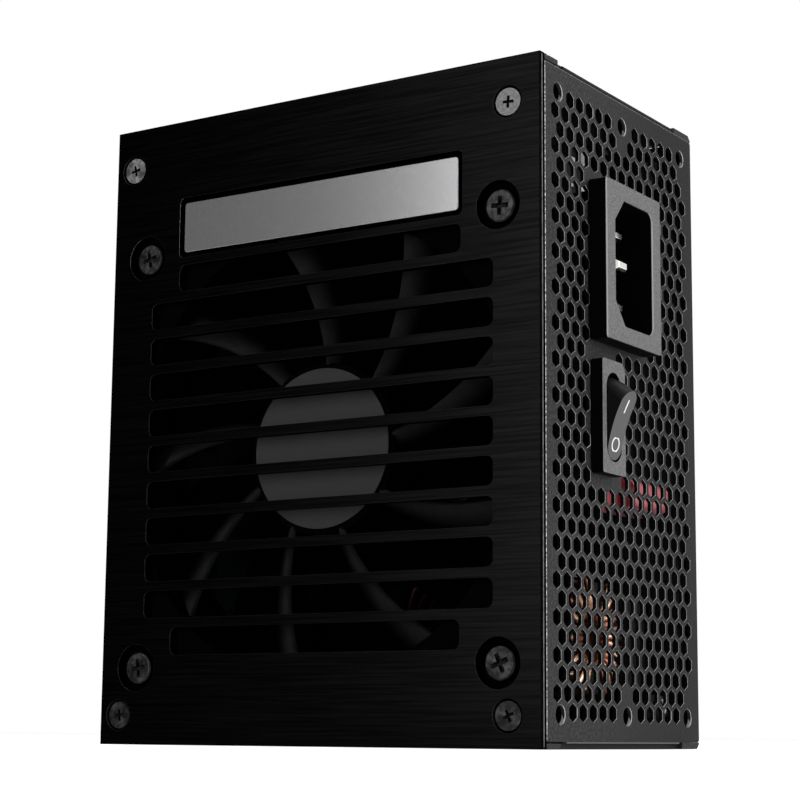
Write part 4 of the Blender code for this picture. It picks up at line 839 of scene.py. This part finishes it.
def makeScrew(kind, finish):
    # a domed head stands on z 0 and a flat one ends at z 0; the shank runs towards -z
    s = screwSizes[kind]
    if "dome" in s:
        top, start = s["height"], 0.3
        head = addRod("screwMould", (0, 0, top / 2), axisZ, s["radius"], top, 64)
        bevelEdges(head, s["dome"], 5, lambda a, b: min(a.z, b.z) > top - close)
    else:
        top, start = 0, -s["height"] / 2
        head = addRod("screwMould", (0, 0, start), axisZ, s["shank"], s["height"], 64, farRadius=s["radius"])
    foot = -s["length"]
    shank = addRod("shank", (0, 0, (foot + start) / 2), axisZ, s["shank"] * 0.98, start - foot, 32)
    combine(head, shank, "UNION")
    size = s["radius"] * s["drive"]
    cutter = crossCutter(size)
    cutter.location.z = top * mm
    combine(head, settle(cutter))
    soften(head, 0.06, 2, 35)
    head.data.materials.clear()
    head.data.materials.append(finishes[finish])
    # the cross recess is near black: painted shade
    paint(head, "recess", lambda n, c: top - 0.85 < c.z < top - 0.04 and math.hypot(c.x, c.y) < size * 1.02)
    return head


def placeScrews():
    fan, plate, pale, paintedShadeMould, cover, board = moulds = [makeScrew(kind, finish) for kind, finish in (
        ("fan", "fanScrew"), ("plate", "plateScrew"), ("plate", "paleScrew"), ("plate", "screwPaintedShade"),
        ("cover", "blackScrew"), ("board", "zincScrew"))]
    paint(board, "shroud", lambda n, c: c.z < -0.5)
    # the corner screws take lit and shaded copies by place: a paler plain copy at the top right and a near-black one
    # at the two lower corners, as painted light and shade
    heads = dict(fan=4 * [fan], plate=[plate, pale, paintedShadeMould, paintedShadeMould], cover=4 * [cover], board=4 * [board])
    slots = dict(fan="screw_zinc", plate="screw_black", cover="screw_black", board="screw_zinc")
    places = dict(fan=fanScrews, plate=cornerScrews)
    forward = Matrix.Rotation(math.pi / 2, 4, "X")
    for i, degrees in enumerate(screwSpins):
        spin = Matrix.Rotation(math.radians(degrees), 4, "Z")
        for kind, s in screwSizes.items():
            node = f"{kind}_screw_{i + 1}"
            low, high = boxOf(node)
            x, y, z = ((a + b) / 2 for a, b in zip(low, high))
            if kind in places:
                x, z = places[kind][i]
            if kind == "cover":
                under = z < caseHeight / 2
                z, turn = (low.z if under else high.z), Matrix.Rotation(math.pi if under else 0, 4, "X")
            else:
                y, turn = low.y + (s["height"] if "dome" in s else 0), forward
            spot = Matrix.Translation([v * mm for v in (x, y, z)])
            hand(copyOf(heads[kind][i], f"{kind}Screw{i + 1}", spot @ turn @ spin), None, slots[kind], node)
    for mould in moulds:
        bpy.data.objects.remove(mould)


placeScrews()
print("screws made")


# Mains inlet

inletSizes = dict(side=-2.6, up=89.9, flange=(22.5, 30.5), flangeHeight=3.8, corner=0.7, edge=0.22,
    cavity=(15.35, 24.1), cut=(3.8, 4.4), cavityCorner=1.8, depth=16.5, wall=1.7, wallCorner=0.8)
pinSizes = dict(tipInset=0.45, tipSlope=0.8, edge=0.12)


def sizedBlock(name, near, far, side, up, size, grow=0.0):
    # a block along X whose outline lies round one place on the rear panel
    wide, tall = (v / 2 + grow for v in size)
    return addBlock(name, (near, side - wide, up - tall), (far, side + wide, up + tall))


def addRear(body, near, face, s, size):
    # the walls round the opening, behind the panel
    rear = sizedBlock("rear", near, face - 1, s["side"], s["up"], size, s["wall"])
    combine(body, roundCorners(rear, 0, s["wallCorner"], 3), "UNION")


def finishMoulding(body, s, face, node):
    soften(body, s["edge"], 3, 40)
    # the moulding's sides take a near-black copy of its face's grey: painted shade; the bevel on its -Y side is
    # paler: painted highlight
    hand(body, "mouldedPaintedShade", "inlet_plastic", node)
    paint(body, "mouldedFace", lambda n, c: n.x > 0.25 and c.x > face - 0.55)
    paint(body, "mouldedPaintedHighlight", lambda n, c: 0.2 < n.x < 0.97 and n.y < -0.25 and c.x > face - 0.55)


def makeInlet():
    s = inletSizes
    low, high = boxOf("inlet_housing")
    face, y, z = high.x, s["side"], s["up"]
    body = sizedBlock("inletHousing", face - s["flangeHeight"], face, y, z, s["flange"])
    roundCorners(body, 0, s["corner"], 5)
    addRear(body, low.x, face, s, s["cavity"])
    hollow = sizedBlock("hollow", face - s["depth"], face + 1, y, z, s["cavity"])
    roundCorners(hollow, 0, s["cavityCorner"], 8, lambda m: m.y > y)
    roundCorners(hollow, 0, s["cut"][0], 1, lambda m: m.y < y)
    # the two cut corners are a little taller than they are wide
    tall = s["cut"][1] - s["cut"][0]
    for corner in hollow.data.vertices:
        if abs(corner.co.y / mm - y + s["cavity"][0] / 2) < close:
            corner.co.z += math.copysign(tall * mm, z * mm - corner.co.z)
    combine(body, hollow)
    finishMoulding(body, s, face, "inlet_housing")


def makePins():
    s = pinSizes
    for role in ("live", "neutral", "earth"):
        node = "inlet_pin_" + role
        low, high = boxOf(node)
        pin = addBlock("pin" + role.capitalize(), low, high)
        choose(pin, "FACE", lambda n, c: n.x > 0.9)
        insetFaces(s["tipInset"])
        setMode("OBJECT")
        # the tip's outer edges move back
        choose(pin, "EDGE", lambda a, b: min(a.x, b.x) > high.x - close
            and (abs(a.y - b.y) > 3.9 or abs(a.z - b.z) > 1.9))
        shift(-s["tipSlope"], 0, 0)
        setMode("OBJECT")
        hand(soften(pin, s["edge"], 2, 25), "nickel", "contact", node)


makeInlet()
makePins()
print("inlet made")


# Mains switch

switchSizes = dict(side=-8.7, up=60.5, bezel=(9.0, 21.25), bezelHeight=2.35, corner=0.5, bigCorner=1.8, edge=0.28,
    opening=(6.0, 16.7), wall=0.8, wallCorner=0.8, floor=5.0, pivotSink=0.45, pin=1.0, pinGap=0.3)
rockerSizes = dict(half=2.7, tip=6.6, rise=5.3, dish=29.0, shoulder=(7.55, 2.6), waist=(7.95, 0),
    foot=(4.4, -2.2), over=0.6, tilt=19.0, edge=0.14, faceDepth=2.0)
markSizes = dict(ring=(1.5, 0.38), ringAt=-3.75, bar=(0.42, 2.9), barAt=3.55, thick=0.16, rise=0.03)


def makeSwitchBody():
    s = switchSizes
    low, high = boxOf("switch_body")
    face, y, z = high.x, s["side"], s["up"]
    w, h = s["bezel"]
    body = sizedBlock("switchBody", face - s["bezelHeight"], face, y, z, s["bezel"])
    roundCorners(body, 0, s["bigCorner"], 8, lambda m: m.y > y and m.z > z)
    roundCorners(body, 0, s["corner"], 5, lambda m: abs(m.y - y) > w / 2 - close and abs(m.z - z) > h / 2 - close)
    addRear(body, low.x, face, s, s["opening"])
    hollow = sizedBlock("hollow", low.x + s["floor"], face + 1, y, z, s["opening"])
    width = s["opening"][0]
    combine(body, roundCorners(hollow, 0, width / 2 - close, 14))
    combine(body, addRod("pivotHoles", (caseFace - s["pivotSink"], y, z), axisY, s["pin"] + s["pinGap"],
        width + 2, 32))
    finishMoulding(body, s, face, "switch_body")


def makeRocker():
    # a stack of rounded outlines round the line out of the pivot, joined and then dished
    s, body = rockerSizes, switchSizes
    half = s["half"]
    taper = (s["shoulder"][0] - s["tip"]) / (s["rise"] - s["shoulder"][1])
    steps = [s["foot"], s["waist"], s["shoulder"], (s["tip"] - taper * s["over"], s["rise"] + s["over"])]
    rings = []
    for reach, level in steps:
        bpy.ops.mesh.primitive_circle_add(vertices=64, radius=half * mm, rotation=(0, math.pi / 2, 0))
        ring = settle(bpy.context.object)
        for corner in ring.data.vertices:
            if abs(corner.co.z) > 0.000001:
                corner.co.z += math.copysign(reach - half, corner.co.z) * mm
            corner.co.x = level * mm
        rings.append(ring)
    rocker = gather(rings, "switchRocker")
    openWhole(rocker)
    bpy.ops.mesh.bridge_edge_loops()
    setMode("OBJECT")
    for _, level in (steps[0], steps[-1]):
        choose(rocker, "EDGE", lambda a, b: max(abs(a.x - level), abs(b.x - level)) < close / 10)
        bpy.ops.mesh.edge_face_add()
        setMode("OBJECT")
    fixNormals(rocker)
    dishCentre = s["rise"] + math.sqrt(s["dish"] ** 2 - s["tip"] ** 2)
    combine(rocker, addRod("dish", (dishCentre, 0, 0), axisY, s["dish"], 4 * half, 360))
    pinLength = body["opening"][0] + 2 * (body["wall"] - body["pinGap"])
    combine(rocker, addRod("pins", (0, 0, 0), axisY, body["pin"], pinLength, 32), "UNION")
    pivot = Matrix.Translation(Vector((caseFace - body["pivotSink"], body["side"], body["up"])) * mm)
    tilt = pivot @ Matrix.Rotation(math.radians(s["tilt"]), 4, "Y")
    rocker.matrix_world = tilt
    settle(rocker)
    soften(rocker, s["edge"], 3, 38)
    hand(rocker, "rocker", "inlet_plastic", "switch_rocker", body="rocker")
    out, heart = tilt.to_3x3() @ Vector((1, 0, 0)), tilt.translation / mm
    # the rocker's sides and the rim below its face take a near-black copy: painted shade
    paint(rocker, "rockerPaintedShade", lambda n, c: n.dot(out) < 0.8 or (c - heart).dot(out) < s["rise"] - s["faceDepth"])
    makeMarks(tilt, dishCentre)


def makeMarks(tilt, dishCentre):
    # the two marks on the rocker's dished face
    s, dish = markSizes, rockerSizes["dish"]
    outer, stroke = s["ring"]
    ring = addRod("markOff", (0, 0, 0), axisX, outer, s["thick"], 64)
    combine(ring, addRod("eye", (0, 0, 0), axisX, outer - stroke, 1, 64))
    bar = sizedBlock("markOn", -s["thick"] / 2, s["thick"] / 2, 0, 0, s["bar"])
    roundCorners(bar, 0, 0.08, 3)
    for mark, along in ((ring, s["ringAt"]), (bar, s["barAt"])):
        level = dishCentre - math.sqrt(dish ** 2 - along ** 2) - s["thick"] / 2 + s["rise"]
        mark.matrix_world = (tilt @ Matrix.Translation(Vector((level, 0, along)) * mm)
            @ Matrix.Rotation(math.asin(along / dish), 4, "Y"))
        hand(smooth(settle(mark)), "mark", "inlet_plastic", body="rocker")


makeSwitchBody()
makeRocker()
print("switch made")


# Parts inside the case

wireSizes = dict(thick=1.1, clear=0.3, steps=16, squareness=0.36)
chokeSizes = dict(outer=11.0, inner=6.0, half=4.5, turns=12, sweep=148.0, edge=0.7)
coilSizes = dict(outer=13.5, inner=6.5, half=6.0, turns=24, sweep=306.0, edge=0.7)
filmTrim = dict(left=3.4, front=6.5, right=1.2)
terminalSizes = dict(block=((36.5, -3.0, 103.4), (39.8, 4.6, 116.5)), sink=0.1, proud=0.6,
    tags=((-2.3, 1.8, 112.9, 1.1), (1.5, 2.0, 113.2, 2.6),
    (-2.7, 1.5, 107.9, 0.8), (1.4, 2.1, 107.3, 1.6)))


def makeRing(name, node, axis, core):
    # a ring core, whose middle it gives back
    low, high = boxOf(node)
    middle = [(a + b) / 2 for a, b in zip(low, high)]
    length = max(abs(v) * (b - a) for v, a, b in zip(axis, low, high))
    ring = addRod(name, middle, axis, core["outer"], length, 72)
    combine(ring, addRod("bore", middle, axis, core["inner"], length + 2, 72))
    hand(soften(ring, core["edge"], 3, 40), "ferrite", "ferrite", node)
    return Vector(middle)


def windWire(name, node, centre, axis, core, start, finish):
    # one wire wound round a ring core, following its squared section
    s = wireSizes
    off = s["clear"] + s["thick"] / 2
    mid, wide = (core["outer"] + core["inner"]) / 2, (core["outer"] - core["inner"]) / 2 + off
    tall = core["half"] + off
    curve = bpy.data.curves.new(name, "CURVE")
    curve.dimensions = "3D"
    curve.bevel_depth = s["thick"] / 2 * mm
    curve.bevel_resolution = 3
    curve.use_fill_caps = True
    count = core["turns"] * s["steps"]
    spline = curve.splines.new("POLY")
    spline.points.add(count)
    up = Vector(axis)
    side = Vector((0, 0, 1)) if abs(up.z) < 0.5 else Vector((1, 0, 0))
    other = up.cross(side)

    def squared(value):
        return math.copysign(abs(value) ** s["squareness"], value)
    for i in range(count + 1):
        turn = 2 * math.pi * i / s["steps"]
        angle = math.radians(start + core["sweep"] * i / count)
        out = side * math.cos(angle) + other * math.sin(angle)
        place = centre + out * (mid + wide * squared(math.cos(turn))) + up * (tall * squared(math.sin(turn)))
        spline.points[i].co = (*(place * mm), 1)
    wire = bpy.data.objects.new(name, curve)
    bpy.context.scene.collection.objects.link(wire)
    pickOnly(wire)
    bpy.ops.object.convert(target="MESH")
    hand(smooth(bpy.context.object, 60), finish, "copper", node)


def makeMagnetics():
    centre = makeRing("chokeCore", "choke_core", axisX, chokeSizes)
    gap = (180 - chokeSizes["sweep"]) / 2
    for role in ("line", "neutral"):
        node = "choke_winding_" + role
        low, high = boxOf(node)
        first = 0 if low.y + high.y < 2 * centre.y else 180
        windWire("chokeWire" + role.capitalize(), node, centre, axisX, chokeSizes, first + gap, "copper")
    centre = makeRing("coilCore", "coil_core", axisY, coilSizes)
    # the coil's wire takes a near-black copy of the copper: painted shade
    windWire("coilWire", "coil_winding", centre, axisY, coilSizes, 0, "copperPaintedShade")


def makeInside():
    film = framePiece("film_capacitor", "filmCapacitor")
    low, high = boxOf("film_capacitor")
    moveCorners(film, lambda c: c.y < low.y + 0.5, 0, filmTrim["front"], 0)
    moveCorners(film, lambda c: c.x < low.x + 0.5, filmTrim["left"], 0, 0)
    moveCorners(film, lambda c: c.x > high.x - 0.5, filmTrim["right"], 0, 0)
    hand(soften(film, 0.6, 3, 30), "film", "film_red", "film_capacitor")
    can = framePiece("storage_capacitor", "storageCapacitor", 0.25, 2, 40)
    hand(can, "can", "can_sleeve", "storage_capacitor")
    front = boxOf("storage_capacitor")[0].y
    paint(can, "canTop", lambda n, c: n.y < -0.9 and c.y < front + 0.5)
    for node, finish, slotName, width in (
            ("transformer_core", "ferrite", "ferrite", 0.3),
            ("transformer_winding", "tape", "winding_tape", 0.3),
            ("primary_heatsink", "heatsink", "heatsink", 0.15),
            ("secondary_heatsink", "heatsink", "heatsink", 0.15),
            ("choke_base", "socket", "fan_plastic", 0.3),
            ("main_board", "board", "circuit_board", 0.1),
            ("modular_board", "board", "circuit_board", 0.1)):
        hand(framePiece(node, pieceName(node), width), finish, slotName, node)


def pieceName(node):
    first, *rest = node.split("_")
    return first + "".join(word.capitalize() for word in rest)


def makeTerminals():
    # a terminal block on the inlet's back, with its tinned tags
    s = terminalSizes
    low, high = s["block"]
    hand(soften(addBlock("terminalBlock", low, high), 0.3, 2), "socket", "fan_plastic")
    tags = [addBlock("tag", (high[0] - s["sink"], y, z), (high[0] + s["proud"], y + wide, z + tall))
        for y, wide, z, tall in s["tags"]]
    hand(soften(gather(tags, "terminalTags"), 0.15, 2), "tinned", "contact")


makeMagnetics()
makeInside()
makeTerminals()
print("inside made")


# Cable sockets, with a contact in each cell

socketSizes = dict(edge=0.14, pinRadius=0.75, pinLength=7.5, pinEdge=0.2, pitch=4.2, rowMiddle=4.9, pinRoot=10.1)
socketColumns = {"socket_main_18": 9, "socket_main_10": 5, "socket_drive_6_1": 3, "socket_drive_6_2": 3,
    "socket_power_8_1": 4, "socket_power_8_2": 4, "socket_power_8_3": 4, "socket_power_8_4": 4}


def makeSockets():
    s = socketSizes
    for node, columns in socketColumns.items():
        name = pieceName(node)
        hand(framePiece(node, name, s["edge"], 2, 40, whole=False), "socket", "fan_plastic", node)
        low, high = boxOf(node)
        x = low.x + s["pinRoot"] - s["pinLength"] / 2
        contacts = []
        for row in (-0.5, 0.5):
            for column in range(columns):
                z = (low.z + high.z) / 2 + (column - (columns - 1) / 2) * s["pitch"]
                contacts.append(addRod("contact", (x, low.y + s["rowMiddle"] + row * s["pitch"], z), (-1, 0, 0),
                    s["pinRadius"], s["pinLength"], 16))
        hand(soften(gather(contacts, name + "Contacts"), s["pinEdge"], 2, 40), "brass", "contact")


makeSockets()
print("sockets made")


# What stays as the frame made it

for node, finish in (("fan_shaft", "steel"), ("fan_bearing", "brass"), ("fan_magnet", "ferrite"),
        ("fan_stator", "copper"), ("fan_lead", "sleeve"), ("insulator_sheet", "insulator"),
        ("switch_tag_line", "nickel"), ("switch_tag_load", "nickel")):
    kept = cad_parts[node]
    kept.data.materials.clear()
    kept.data.materials.append(finishes[finish])


# Floor, light and camera, with their lengths in metres

studio = dict(floor=(0.80, 0.80, 0.80), floorReach=30.0, floorDrop=0.0001, floorGlow=0.75, ambient=0.22)
lamps = {
    "keySide": dict(place=(0.90, -0.10, 0.30), size=(0.7, 0.7), power=6.0),
    "frontLeft": dict(place=(-0.33, -0.83, 0.16), size=(0.18, 0.9), power=6.8),
    "top": dict(place=(-0.1, 0.1, 1.1), size=(0.9, 0.9), power=6.0),
}
viewer = dict(place=(0.22207, -0.33935, 0.00215), azimuth=33.252, elevation=-9.415, roll=0.493, lens=91.09)


def directRays(tree):
    # 1 for camera, glossy and transmission rays, and 0 for the rest
    rays = addNode(tree, "LightPath").outputs
    seen = rays["Is Camera Ray"]
    for kind in ("Is Glossy Ray", "Is Transmission Ray"):
        seen = addNode(tree, "Math", seen, rays[kind], operation="MAXIMUM").outputs[0]
    return seen


def makeFloor():
    place = (0, 0, cadBox[0].z - studio["floorDrop"])
    bpy.ops.mesh.primitive_plane_add(size=studio["floorReach"], location=place)
    floor = bpy.context.object
    floor.name = "floor"
    cloth = addFinish("floorWhite", studio["floor"], 0.9, 0.0, 0.1, Emission_Color=(1, 1, 1, 1))
    tree = cloth.node_tree
    glow = addNode(tree, "Math", directRays(tree), studio["floorGlow"], operation="MULTIPLY")
    tree.links.new(glow.outputs[0], tree.nodes["Principled BSDF"].inputs["Emission Strength"])
    floor.data.materials.append(cloth)


def makeLight():
    middle = (cadBox[0] + cadBox[1]) / 2
    for name, lamp in lamps.items():
        place = Vector(lamp["place"])
        bpy.ops.object.light_add(type="AREA", location=place)
        light = bpy.context.object
        light.name = name
        light.rotation_euler = (middle - place).to_track_quat("-Z", "Y").to_euler()
        light.data.shape = "RECTANGLE"
        light.data.size, light.data.size_y = lamp["size"]
        light.data.energy = lamp["power"]
    world = bpy.data.worlds.new("studioWorld")
    bpy.context.scene.world = world
    world.use_nodes = True
    tree = world.node_tree
    background = tree.nodes["Background"].inputs
    background["Color"].default_value = (1, 1, 1, 1)
    strength = addNode(tree, "MapRange", Value=directRays(tree), To_Min=studio["ambient"], To_Max=1.0)
    tree.links.new(strength.outputs["Result"], background["Strength"])


def makeCamera():
    turn, rise, roll = (math.radians(viewer[key]) for key in ("azimuth", "elevation", "roll"))
    back = Vector((math.sin(turn) * math.cos(rise), -math.cos(turn) * math.cos(rise), math.sin(rise)))
    right = Vector((0, 0, 1)).cross(back).normalized()
    up = back.cross(right)
    across = right * math.cos(roll) + up * math.sin(roll)
    above = up * math.cos(roll) - right * math.sin(roll)
    camera = bpy.data.objects.new("camera", bpy.data.cameras.new("camera"))
    bpy.context.scene.collection.objects.link(camera)
    camera.matrix_world = Matrix.Translation(viewer["place"]) @ Matrix((across, above, back)).transposed().to_4x4()
    camera.data.sensor_width = 36
    camera.data.lens = viewer["lens"]
    camera.data.clip_start, camera.data.clip_end = 0.001, 100
    bpy.context.scene.camera = camera


makeFloor()
makeLight()
makeCamera()
bpy.context.scene.view_settings.view_transform = "Standard"
print("studio made")

clearSelection()
